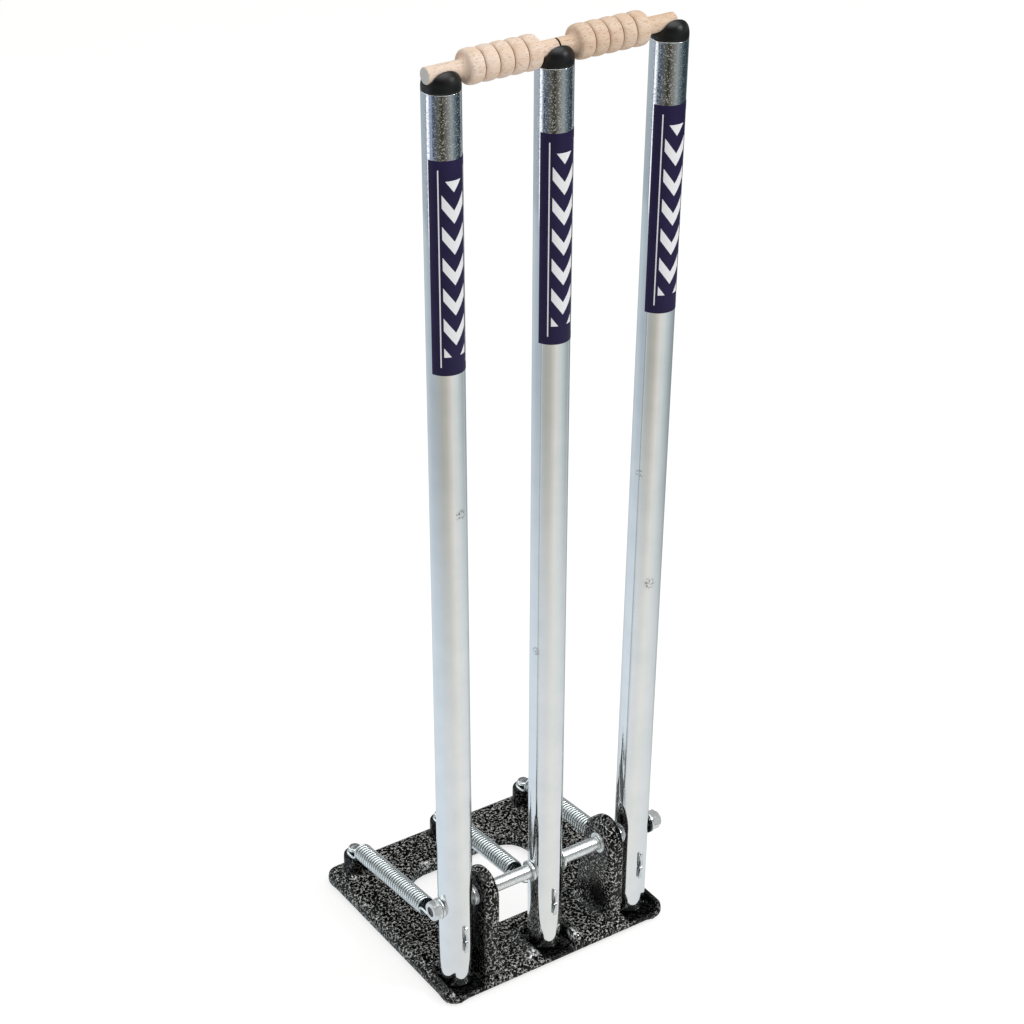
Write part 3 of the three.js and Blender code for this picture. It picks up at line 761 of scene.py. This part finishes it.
class STUMPS_OT_caps(Operator):
    """Adds the rubber caps with the groove for the bails"""

    bl_idname = "stumps.add_caps"
    bl_label = "Rubber caps"

    def execute(self, context):
        settings = context.scene.stumps_caps
        tubes = context.scene.stumps_tubes
        radius = tubes.diameter / 2
        stem = radius - tubes.wall - GAP
        rim = 0.0015
        dome_steps = 40
        dome = []
        for i in range(dome_steps):
            dome_radius = radius * cos(pi / 2 * i / dome_steps)
            share = (1 - (dome_radius / radius) ** 3) ** (1 / 2.2)
            dome.append((dome_radius, rim + (settings.height - rim) * share))
        foot = -settings.stem_length
        outline = [(0, foot), (stem, foot), (stem, GAP), (radius, GAP), *dome, (0, settings.height)]
        cap = turned("cap_master", outline, 96)
        reach = 0.02
        rod = [(0, -reach), (GROOVE_RADIUS, -reach), (GROOVE_RADIUS, reach), (0, reach)]
        groove = turned("groove_tool", rod, 64)
        across = Matrix.Rotation(pi / 2, 4, "Y")
        set_in_place(groove, Matrix.Translation((0, 0, GROOVE_HEIGHT)) @ across)
        carved(cap, groove)
        mouth_depth = 0.01
        mouth_size = (2 * reach, 2 * GROOVE_RADIUS, mouth_depth)
        carved(cap, block("mouth_tool", mouth_size, (0, 0, GROOVE_HEIGHT + mouth_depth / 2)))
        remeshed(cap, voxel_size=0.0004, smoothings=14)
        rubber = satin_rubber(settings)
        on_each_stump(cap, "rubber_cap", TUBE_TOP - ROW.z, "cap_rubber", rubber, "top_cap")
        return {"FINISHED"}


class STUMPS_OT_labels(Operator):
    """Adds the curved labels on the front of the tubes"""

    bl_idname = "stumps.add_labels"
    bl_label = "Labels"

    def execute(self, context):
        settings = context.scene.stumps_labels
        above_chrome, film = 0.00008, 0.00012
        radius = context.scene.stumps_tubes.diameter / 2 + above_chrome
        drop_selection()
        bpy.ops.mesh.primitive_grid_add(x_subdivisions=48, y_subdivisions=24, size=1)
        label = added("label_master")
        label.data.uv_layers[0].name = "label"
        foot = settings.base_height - ROW.z
        for vertex in label.data.vertices:
            angle = vertex.co.x * 2 * settings.half_angle
            height = foot + (vertex.co.y + 0.5) * settings.length
            vertex.co = (radius * sin(angle), -radius * cos(angle), height)
        modified(label, "SOLIDIFY", thickness=film, offset=1.0)
        smooth(label, 40)
        on_each_stump(label, "label", 0, None, label_print(settings))
        return {"FINISHED"}


def bail_profile(settings, outer_end, inner_end):
    """Half the outline of a bail: a spigot, a barrel of round beads and a shorter spigot."""
    spigot = settings.spigot_diameter / 2
    barrel = settings.barrel_diameter / 2
    barrel_end = outer_end + BARREL_LENGTH
    end = barrel_end + inner_end
    bead = BARREL_LENGTH / BEAD_COUNT
    edge, fillet, shoulder, steps = 0.0006, 0.0022, 0.0026, 20
    beads = []
    for number in range(BEAD_COUNT):
        for i in range(steps + (number == BEAD_COUNT - 1)):
            share = i / steps
            # A bead is nearly flat on top and falls off steeply at its sides.
            side = abs(2 * share - 1)
            drop = 0.0007 * side**2 + 0.0009 * side**6 + 0.0007 * side**16
            beads.append((barrel - drop, outer_end + bead * (number + share)))
    return [
        (0, 0),
        *arc((spigot - edge, edge), edge, -90, 0, 4),
        (spigot, 2 * edge),
        (spigot, outer_end - shoulder),
        *arc((spigot + fillet, outer_end - fillet), fillet, 180, 90, 5),
        (barrel - shoulder, outer_end),
        *beads,
        (barrel - shoulder, barrel_end),
        *arc((spigot + fillet, barrel_end + fillet), fillet, 270, 180, 5),
        (spigot, barrel_end + shoulder),
        (spigot, end - 2 * edge),
        *arc((spigot - edge, end - edge), edge, 0, 90, 4),
        (0, end),
    ]


class STUMPS_OT_bails(Operator):
    """Adds the two turned bails"""

    bl_idname = "stumps.add_bails"
    bl_label = "Turned bails"

    def execute(self, context):
        settings = context.scene.stumps_bails
        wood = turned_beech(settings)
        for side, body, node in ((-1, "left_bail", "bail_left"), (1, "right_bail", "bail_right")):
            outer_end, inner_end = SPIGOTS[node]
            bail = turned(f"turned_{node}", bail_profile(settings, outer_end, inner_end), 72)
            smooth(bail, 42)
            reach = GAP + outer_end + BARREL_LENGTH + inner_end
            outer_tip = Matrix.Translation((ROW.x + BAILS_MEET + side * reach, ROW.y, BAIL_HEIGHT))
            set_in_place(bail, outer_tip @ Matrix.Rotation(-side * pi / 2, 4, "Y"))
            finish(bail, body, "bail_wood", wood, node)
        return {"FINISHED"}


# The pivot.


def along_row(x, sense=1):
    """The frame at a place along the row whose Z runs along the bolt, to the right or to the left."""
    return Matrix.Translation((ROW.x + x, ROW.y, ROW.z)) @ Matrix.Rotation(sense * pi / 2, 4, "Y")


def hexagon(name, height):
    """A hexagonal block that stands on its end, with chamfered corners on top."""
    corner = HEX_WIDTH / sqrt(3)
    drop_selection()
    bpy.ops.mesh.primitive_cylinder_add(vertices=6, radius=corner, depth=height, location=(0, 0, height / 2))
    piece = added(name)
    set_in_place(piece)
    flat = HEX_WIDTH / 2 * 0.97
    past_corner = corner + 0.001
    chamfer = 0.0004 + (past_corner - flat) * 0.3
    profile = [(0, 0), (past_corner, 0), (past_corner, height - chamfer), (flat, height), (0, height)]
    carved(piece, turned("chamfer_tool", profile, 64), "INTERSECT")
    return piece


def bolt_head():
    """The hexagon head, dished on top and sunk a little into the flange."""
    sunk = 0.0005
    height = 0.0052 + sunk
    floor, above = height - 0.0009, height + 0.0004
    head = hexagon("pivot_bolt_head", height)
    carved(head, turned("dish_tool", [(0, floor), (0.0033, floor), (0.0043, above), (0, above)], 48))
    bevelled(head, 0.00025, 25)
    smooth(head, 30)
    set_in_place(head, along_row(0, -1) @ Matrix.Translation((0, 0, FLANGE_FACE + FLANGE_THICKNESS - sunk)))
    return head


def bolt_shank(shank):
    """The long shank with the flange of its head."""
    edge, flange = 0.0006, 0.0077
    top = FLANGE_FACE + FLANGE_THICKNESS
    bolt = turned("pivot_bolt_shank", [
        (0, -BOLT_END), (shank - edge, -BOLT_END), (shank, -BOLT_END + edge), (shank, FLANGE_FACE),
        (flange - 0.0002, FLANGE_FACE), (flange, FLANGE_FACE + 0.0003), (flange, top - edge),
        (flange - 0.0009, top), (0, top),
    ], 48)
    smooth(bolt, 35)
    set_in_place(bolt, along_row(0, -1))
    return bolt


def lock_nut(shank):
    """The locking nut: a hexagon with a round collar."""
    bore, collar, foot, top, fillet = shank + 0.0002, 0.0058, 0.003, 0.0081, 0.0007
    nut = hexagon("pivot_nut_body", height=0.0066)
    rounded = arc((collar - fillet, top - fillet), fillet, 0, 90, 4)
    profile = [(bore, foot), (collar, foot), *rounded, (bore, top), (bore, foot)]
    carved(nut, turned("nut_collar", profile, 48), "UNION")
    carved(nut, turned("nut_bore", [(0, -0.01), (bore, -0.01), (bore, 0.02), (0, 0.02)], 48))
    bevelled(nut, 0.0002, 28)
    smooth(nut, 30)
    set_in_place(nut, along_row(NUT_FACE))
    return nut


def steel_ring(name, bore, radius, length, edge, bore_edge, steps):
    """A washer or a sleeve with bevelled edges, upright on the floor."""
    profile = [
        (bore + bore_edge, 0), (radius - edge, 0), (radius, edge),
        (radius, length - edge), (radius - edge, length), (bore + bore_edge, length),
    ]
    if bore_edge:
        profile += [(bore, length - bore_edge), (bore, bore_edge)]
    piece = turned(name, [*profile, profile[0]], steps)
    smooth(piece, 30)
    return piece


class STUMPS_OT_pivot(Operator):
    """Adds the long bolt, its nut, the sleeves and the washers"""

    bl_idname = "stumps.add_pivot"
    bl_label = "Pivot bolt"

    def execute(self, context):
        settings = context.scene.stumps_hardware
        shank = settings.bolt_diameter / 2
        plate = zinc("zinc_plate", settings.zinc_colour, 0.26, metallic=0.65)
        # Painted shade in the dishes of the head and the nut.
        dished = zinc("zinc_dish_shade", settings.zinc_colour, 0.18, metallic=0.45, dished=True)
        # Painted shade: the washer beside the nut is dark.
        shaded_washer = zinc("washer_painted_shade", (0.06, 0.07, 0.07), 0.26)
        head, bolt, nut = bolt_head(), bolt_shank(shank), lock_nut(shank)
        finish(bolt, "base", "zinc_steel", plate, "pivot_bolt")
        finish(head, "base", "zinc_steel", dished)
        finish(nut, "base", "zinc_steel", dished, "pivot_nut")

        radius, thickness, edge = 0.008, 0.0016, 0.0002
        washer = steel_ring("washer_master", shank + GAP, radius, thickness, edge, edge, 64)
        for number in range(1, WASHER_COUNT + 1):
            node = f"pivot_washer_{number}"
            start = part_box(node)[0][0]
            copy = copied(washer, f"steel_washer_{number}", along_row(start - ROW.x))
            finish(copy, "base", "zinc_steel", shaded_washer if number == SHADED_WASHER else plate, node)
        bpy.data.objects.remove(washer)

        radius, edge = 0.0053, 0.0003
        for side in ("left", "right"):
            node = f"spacer_sleeve_{side}"
            low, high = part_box(node)
            length = high[0] - low[0]
            sleeve = steel_ring(f"steel_sleeve_{side}", shank + GAP, radius, length, edge, 0, 48)
            set_in_place(sleeve, along_row(low[0] - ROW.x))
            finish(sleeve, "base", "zinc_steel", plate, node)
        return {"FINISHED"}


def half_round(radius):
    """The section of one leg of a split pin, as a closed flat curve."""
    outline = [(x, y, 0) for x, y in arc((0, -radius / 2), radius, 0, 180, 12)]
    section = drawn_path("pin_section", outline, "2D")
    section.data.splines[0].use_cyclic_u = True
    return section


class STUMPS_OT_pins(Operator):
    """Adds the split pins through the stumps"""

    bl_idname = "stumps.add_pins"
    bl_label = "Split pins"

    def execute(self, context):
        tube = context.scene.stumps_tubes.diameter / 2
        middle = PIN_RADIUS / 2
        apart = 0.0001 + middle
        leg_face = -tube - GAP - middle
        bend_radius = 0.0008 + middle
        eye_radius = EYE_RADIUS + middle
        upper_leg, lower_leg = 0.012, 0.010
        half = degrees(asin(apart / eye_radius))
        outline = [
            (leg_face, upper_leg),
            *arc((leg_face + bend_radius, apart + bend_radius), bend_radius, 180, 270, 8),
            *arc((eye_distance(), 0), eye_radius, 180 - half, half - 180, 40),
            *arc((leg_face + bend_radius, -apart - bend_radius), bend_radius, 90, 180, 8),
            (leg_face, -lower_leg),
        ]
        section = half_round(PIN_RADIUS)
        pin = wire("pin_master", [(0, y, z) for y, z in outline], section=section)
        bpy.data.objects.remove(section)
        smooth(pin, 40)
        # Painted shade on the pin's side that faces the bolt's head.
        note_depths(pin, [(-0.55 - vertex.normal.x) / 0.3 for vertex in pin.data.vertices])
        plate = zinc("pin_plate", (0.80, 0.83, 0.84), 0.2, metallic=0.65, painted_shade=True)
        on_each_stump(pin, "bent_pin", -PIN_DROP, "zinc_steel", plate, "split_pin")
        return {"FINISHED"}


# The springs.


def ring(centre, radius, start, end):
    """Points of a level circle, in degrees."""
    return [centre + Vector((x, y, 0)) for x, y in arc((0, 0), radius, start, end, 36)]


def bend(start, leave, end, arrive):
    """The points of a bent wire between two ends, without the ends."""
    steps = 10
    pull = (end - start).length / 2
    first, second = start + leave * pull, end - arrive * (pull / 2)
    points = []
    for i in range(1, steps):
        t = i / steps
        s = 1 - t
        points.append(s**3 * start + 3 * s * s * t * first + 3 * s * t * t * second + t**3 * end)
    return points


def past(before, last, length):
    """The point at a length beyond the last of two points."""
    return last + (last - before).normalized() * length


def spring_lines(settings):
    """The centre lines of a return spring: its front hook, and its close coil with the rear ring."""
    wire_radius = settings.wire_diameter / 2
    radius = settings.coil_diameter / 2 - wire_radius
    rearward = Vector((0, 1, 0))
    right = Vector((1, 0, 0))

    # The front ring hangs in the pin's eye, and the rear ring lies round the screw on its post.
    play_in_eye, play_at_screw = 0.0008, 0.0005
    pin_height = ROW.z - PIN_DROP
    hooked = eye_distance() + EYE_RADIUS - wire_radius - play_in_eye
    front_ring = Vector((0, hooked + radius, pin_height))
    ring_height = POST_TOP + GAP + wire_radius
    past_screw = radius - wire_radius - SCREW_SHANK - play_at_screw
    rear_ring = Vector((0, POST_DISTANCE - past_screw, ring_height))

    # The coil begins a little below the front ring and ends on top of the rear one.
    front_bend, rear_bend, drop = 0.0152, 0.0102, 0.0035
    coil_front = Vector((0, front_ring.y + front_bend, pin_height - drop))
    coil_rear = Vector((0, rear_ring.y - rear_bend, ring_height + radius))
    up = right.cross((coil_rear - coil_front).normalized())
    steps = settings.steps_per_turn
    count = settings.turns * steps
    coil = []
    for i in range(count + 1):
        angle = pi + 2 * pi * i / steps
        centre = coil_front.lerp(coil_rear, i / count)
        coil.append(centre + right * radius * cos(angle) + up * radius * sin(angle))
    front = ring(front_ring, radius, 460, 180)
    rear = ring(rear_ring, radius, 180, -100)
    hook_line = [
        past(front[1], front[0], settings.wire_diameter),
        *front,
        *bend(front[-1], rearward, coil[0], -up),
        *coil[:2],
    ]
    coil_line = [
        *coil,
        *bend(coil[-1], -up, rear[0], rearward),
        *rear,
        past(rear[-2], rear[-1], settings.wire_diameter),
    ]
    return hook_line, coil_line, coil_front, coil_rear


def note_winding_shade(piece, start, end, settings):
    """Notes how deep each point lies in the winding, from 0 outside to 1 inside, for the painted shade
    between the turns.
    """
    axis = (end - start).normalized()
    length = (end - start).length
    depths = []
    for vertex in piece.data.vertices:
        along = (vertex.co - start).dot(axis)
        from_axis = (vertex.co - start - axis * along).length
        depth = (settings.coil_diameter / 2 - from_axis) / settings.wire_diameter
        depths.append(depth if 0 < along < length else 0.0)
    note_depths(piece, depths)


class STUMPS_OT_springs(Operator):
    """Winds the three return springs, which stretch between the base and the stumps"""

    bl_idname = "stumps.add_springs"
    bl_label = "Return springs"

    def execute(self, context):
        settings = context.scene.stumps_springs
        hook_line, coil_line, front, rear = spring_lines(settings)
        plate = zinc("spring_zinc", settings.zinc_colour, 0.22, metallic=0.7, painted_shade=True)
        # Where the coil and the hook would hold still and follow the stump, the coil taking this share of
        # the way, is worked out but not used.
        share = 0.40
        ring_back = front.y - 0.009
        pieces = (
            ("spring_hook", hook_line, (front.y - share * ring_back) / (1 - share), ring_back),
            ("wound_spring", coil_line, rear.y, rear.y - (rear.y - front.y) / share),
        )
        for name, line, still, moved in pieces:
            master = wire(f"{name}_master", line, settings.wire_diameter / 2)
            smooth(master, 50)
            note_winding_shade(master, front, rear, settings)
            for number, pivot in enumerate(PIVOTS, 1):
                copy = copied(master, f"{name}_{number}", Matrix.Translation((pivot.x, pivot.y, 0)))
                finish(copy, "base", "spring_wire", plate, f"return_spring_{number}")
                copy.parent = None
                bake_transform(copy)
            bpy.data.objects.remove(master)
        return {"FINISHED"}


class STUMPS_OT_screws(Operator):
    """Adds the slotted screws that hold the springs on their posts"""

    bl_idname = "stumps.add_screws"
    bl_label = "Spring screws"

    def execute(self, context):
        height, reach = 0.0026, 0.0157
        base = POST_TOP + GAP + context.scene.stumps_springs.wire_diameter + GAP
        top, foot = base + height, POST_TOP - reach
        head, edge, dome = 0.0052, 0.0002, 0.0014
        screw = turned("screw_master", [
            (0, foot), (SCREW_SHANK, foot), (SCREW_SHANK, base), (head - edge, base), (head, base + edge),
            *arc((head - dome, top - dome), dome, 0, 80, 8), (0, top),
        ], 64)
        carved(screw, block("slot_tool", (0.02, 0.0013, 0.0026), (0, 0, top), radians(18)))
        bevelled(screw, 0.00018, 40)
        smooth(screw, 35)
        plate = zinc("screw_plate", (0.90, 0.92, 0.93), 0.22)
        for number, pivot in enumerate(PIVOTS, 1):
            place = Matrix.Translation((pivot.x, pivot.y + POST_DISTANCE, 0))
            copy = copied(screw, f"slotted_screw_{number}", place)
            finish(copy, "base", "zinc_steel", plate, f"spring_screw_{number}")
        bpy.data.objects.remove(screw)
        return {"FINISHED"}


# The studio.

# What gloss shows round about, from the floor near the stumps to the dark studio beyond the sheet.
NEAR_FLOOR = (
    (0.0, (0.60, 0.64, 0.66)), (0.13, (0.68, 0.75, 0.81)), (0.33, (0.70, 0.78, 0.85)),
    (0.50, (0.74, 0.75, 0.75)), (0.60, (0.80, 0.81, 0.77)), (0.71, (0.76, 0.78, 0.79)),
    (0.80, (0.68, 0.72, 0.72)), (0.90, (0.36, 0.40, 0.42)), (1.0, (0.60, 0.64, 0.66)),
)
MIDDLE_FLOOR = (
    (0.0, (0.48, 0.54, 0.56)), (0.13, (0.53, 0.60, 0.65)), (0.27, (0.42, 0.48, 0.54)),
    (0.44, (0.42, 0.43, 0.39)), (0.50, (0.50, 0.48, 0.42)), (0.59, (0.74, 0.71, 0.67)),
    (0.66, (0.65, 0.70, 0.69)), (0.79, (0.38, 0.43, 0.45)), (0.90, (0.24, 0.27, 0.28)),
    (1.0, (0.48, 0.54, 0.56)),
)
DARK_STUDIO = (
    (0.0, (0.45, 0.50, 0.52)), (0.235, (0.36, 0.42, 0.47)), (0.25, (0.16, 0.16, 0.34)),
    (0.265, (1.25, 1.25, 1.25)), (0.30, (1.0, 1.05, 1.1)), (0.32, (0.22, 0.30, 0.50)),
    (0.345, (0.34, 0.40, 0.50)), (0.37, (0.07, 0.10, 0.16)), (0.45, (0.10, 0.10, 0.08)),
    (0.51, (0.035, 0.035, 0.025)), (0.56, (0.14, 0.13, 0.11)), (0.65, (0.29, 0.32, 0.32)),
    (0.72, (0.10, 0.14, 0.16)), (0.78, (0.03, 0.05, 0.06)), (0.88, (0.04, 0.06, 0.07)),
    (1.0, (0.45, 0.50, 0.52)),
)
# The same from the horizon to the zenith.
STUDIO_HEIGHT = (
    (0.0, (0.50, 0.53, 0.54)), (0.14, (0.24, 0.26, 0.27)), (0.28, (0.02, 0.022, 0.025)),
    (0.68, (0.02, 0.022, 0.025)), (0.80, (0.60, 0.64, 0.64)), (0.92, (1.6, 1.62, 1.62)),
)
# The camera at the photograph's viewing angle.
CAMERA_PLACE = (-0.8555, -1.2911, 1.2332)
CAMERA_ANGLES = (-33.97, 90 - 29.83, 0.20)
FOCAL_PIXELS = 2513
PICTURE_PIXELS = 1024
SENSOR_WIDTH = 36


def shown_to(tree, ray, shader, others):
    """Shows one shader to one kind of ray and another to all others."""
    is_ray = add_node(tree, "ShaderNodeLightPath").outputs[f"Is {ray} Ray"]
    return add_node(tree, "ShaderNodeMixShader", is_ray, others.outputs[0], shader.outputs[0])


def studio_floor(settings):
    """White to the camera but for the shadow; to gloss, a white sheet with the dark studio beyond it."""
    material = bpy.data.materials.new("studio_floor")
    tree = empty_tree(material)
    seam = object_place(tree, rotation=(0, 0, radians(124)))
    round_about = add_node(tree, "ShaderNodeTexGradient", seam, gradient_type="RADIAL").outputs[1]
    near, middle, far = (ramp(round_about, stops) for stops in (NEAR_FLOOR, MIDDLE_FLOOR, DARK_STUDIO))
    distance = away(object_place(tree), (0, 0, 0))
    sheet = mixed(between(distance, 0.25, 1.05), near, middle)
    blur = 0.03
    beyond = between(distance, settings.sheet_reach - blur, settings.sheet_reach + blur)
    in_gloss = add_node(tree, "ShaderNodeEmission", mixed(beyond, sheet, far), 1.0)
    white = add_node(tree, "ShaderNodeBsdfDiffuse", grey(0.9))
    lift = add_node(tree, "ShaderNodeEmission", grey(1), 0.72)
    dimmed = add_node(tree, "ShaderNodeBsdfDiffuse", (0.42, 0.415, 0.41))
    seen = add_node(tree, "ShaderNodeAddShader", lift.outputs[0], dimmed.outputs[0])
    surface = shown_to(tree, "Glossy", in_gloss, shown_to(tree, "Camera", seen, white))
    add_node(tree, "ShaderNodeOutputMaterial", surface.outputs[0])
    return material


def studio_world(settings):
    """Even light, white to the camera, with a soft grey studio for gloss."""
    world = bpy.data.worlds.new("studio_world")
    tree = empty_tree(world)
    direction = add_node(tree, "ShaderNodeTexCoord").outputs["Generated"]
    across, along, height = add_node(tree, "ShaderNodeSeparateXYZ", direction).outputs
    panel = product(
        between(across, -0.05, 0.2, 1.0, 0.0),
        between(along, 0.2, 0.45),
        between(height, 0.3, 0.42),
    )
    glow = mixed(panel, ramp(height, STUDIO_HEIGHT), (1.6, 1.7, 1.74))
    even = add_node(tree, "ShaderNodeBackground", grey(1), settings.sky_level)
    white = add_node(tree, "ShaderNodeBackground", grey(1), 1.0)
    studio = add_node(tree, "ShaderNodeBackground", glow, 1.0)
    surface = shown_to(tree, "Camera", white, shown_to(tree, "Glossy", studio, even))
    add_node(tree, "ShaderNodeOutputWorld", surface.outputs[0])
    bpy.context.scene.world = world


def add_lamp(name, place, target, size, power):
    """A square area lamp that faces its target."""
    drop_selection()
    bpy.ops.object.light_add(type="AREA", location=place)
    lamp = bpy.context.object
    lamp.name = name
    lamp.data.shape = "SQUARE"
    lamp.data.size = size
    lamp.data.energy = power
    aim = Vector(target) - Vector(place)
    lamp.rotation_euler = aim.to_track_quat("-Z", "Y").to_euler()


def add_camera():
    """The camera, turned round the upright, tilted up from straight down and rolled a little."""
    drop_selection()
    bpy.ops.object.camera_add()
    camera = bpy.context.object
    camera.name = "studio_camera"
    place = Matrix.Translation(CAMERA_PLACE)
    for angle, axis in zip(CAMERA_ANGLES, "ZXZ"):
        place = place @ Matrix.Rotation(radians(angle), 4, axis)
    camera.matrix_world = place
    camera.data.sensor_width = SENSOR_WIDTH
    camera.data.lens = SENSOR_WIDTH * FOCAL_PIXELS / PICTURE_PIXELS
    camera.data.clip_start = 0.05
    camera.data.clip_end = 40
    bpy.context.scene.camera = camera


class STUMPS_OT_stage(Operator):
    """Adds the floor, the studio light and the camera"""

    bl_idname = "stumps.add_stage"
    bl_label = "Studio"

    def execute(self, context):
        settings = context.scene.stumps_stage
        drop_selection()
        bpy.ops.mesh.primitive_plane_add(size=settings.floor_size, location=(0, 0, 0))
        floor = added("floor")
        floor.data.materials.append(studio_floor(settings))
        studio_world(settings)
        add_lamp("overhead", (0.3, -0.4, 2.2), (0, 0, 0.2), 1.4, settings.key_power)
        add_lamp("front_right", (0.97, -1.06, 1.5), (0, 0, 0.1), 0.32, settings.front_power)
        add_camera()
        context.scene.view_settings.view_transform = "Standard"
        return {"FINISHED"}


class STUMPS_PT_panel(Panel):
    """Lists the sizes, the colours and the pieces of the set"""

    bl_label = "Cricket stumps"
    bl_idname = "STUMPS_PT_panel"
    bl_space_type = "VIEW_3D"
    bl_region_type = "UI"
    bl_category = "Stumps"

    def draw(self, context):
        for name, settings in SETTINGS.items():
            column = self.layout.column(align=True)
            for key in settings.__annotations__:
                column.prop(getattr(context.scene, name), key)
        for operator in OPERATORS:
            self.layout.operator(operator.bl_idname)


SETTINGS = {
    "stumps_stage": StageSettings,
    "stumps_base": BaseSettings,
    "stumps_tubes": TubeSettings,
    "stumps_caps": CapSettings,
    "stumps_bails": BailSettings,
    "stumps_labels": LabelSettings,
    "stumps_springs": SpringSettings,
    "stumps_hardware": HardwareSettings,
}
OPERATORS = (
    STUMPS_OT_base, STUMPS_OT_tubes, STUMPS_OT_labels, STUMPS_OT_caps, STUMPS_OT_bails,
    STUMPS_OT_pivot, STUMPS_OT_pins, STUMPS_OT_springs, STUMPS_OT_screws, STUMPS_OT_stage,
)
CLASSES = (*SETTINGS.values(), *OPERATORS, STUMPS_PT_panel)


def register():
    for each in CLASSES:
        bpy.utils.register_class(each)
    for name, settings in SETTINGS.items():
        setattr(bpy.types.Scene, name, PointerProperty(type=settings))


def unregister():
    for name in SETTINGS:
        delattr(bpy.types.Scene, name)
    for each in reversed(CLASSES):
        bpy.utils.unregister_class(each)


def main():
    register()
    bpy.ops.stumps.add_base()
    bpy.ops.stumps.add_tubes()
    bpy.ops.stumps.add_labels()
    bpy.ops.stumps.add_caps()
    bpy.ops.stumps.add_bails()
    bpy.ops.stumps.add_pivot()
    bpy.ops.stumps.add_pins()
    bpy.ops.stumps.add_springs()
    bpy.ops.stumps.add_screws()
    bpy.ops.stumps.add_stage()
    drop_selection()


if __name__ == "__main__":
    main()
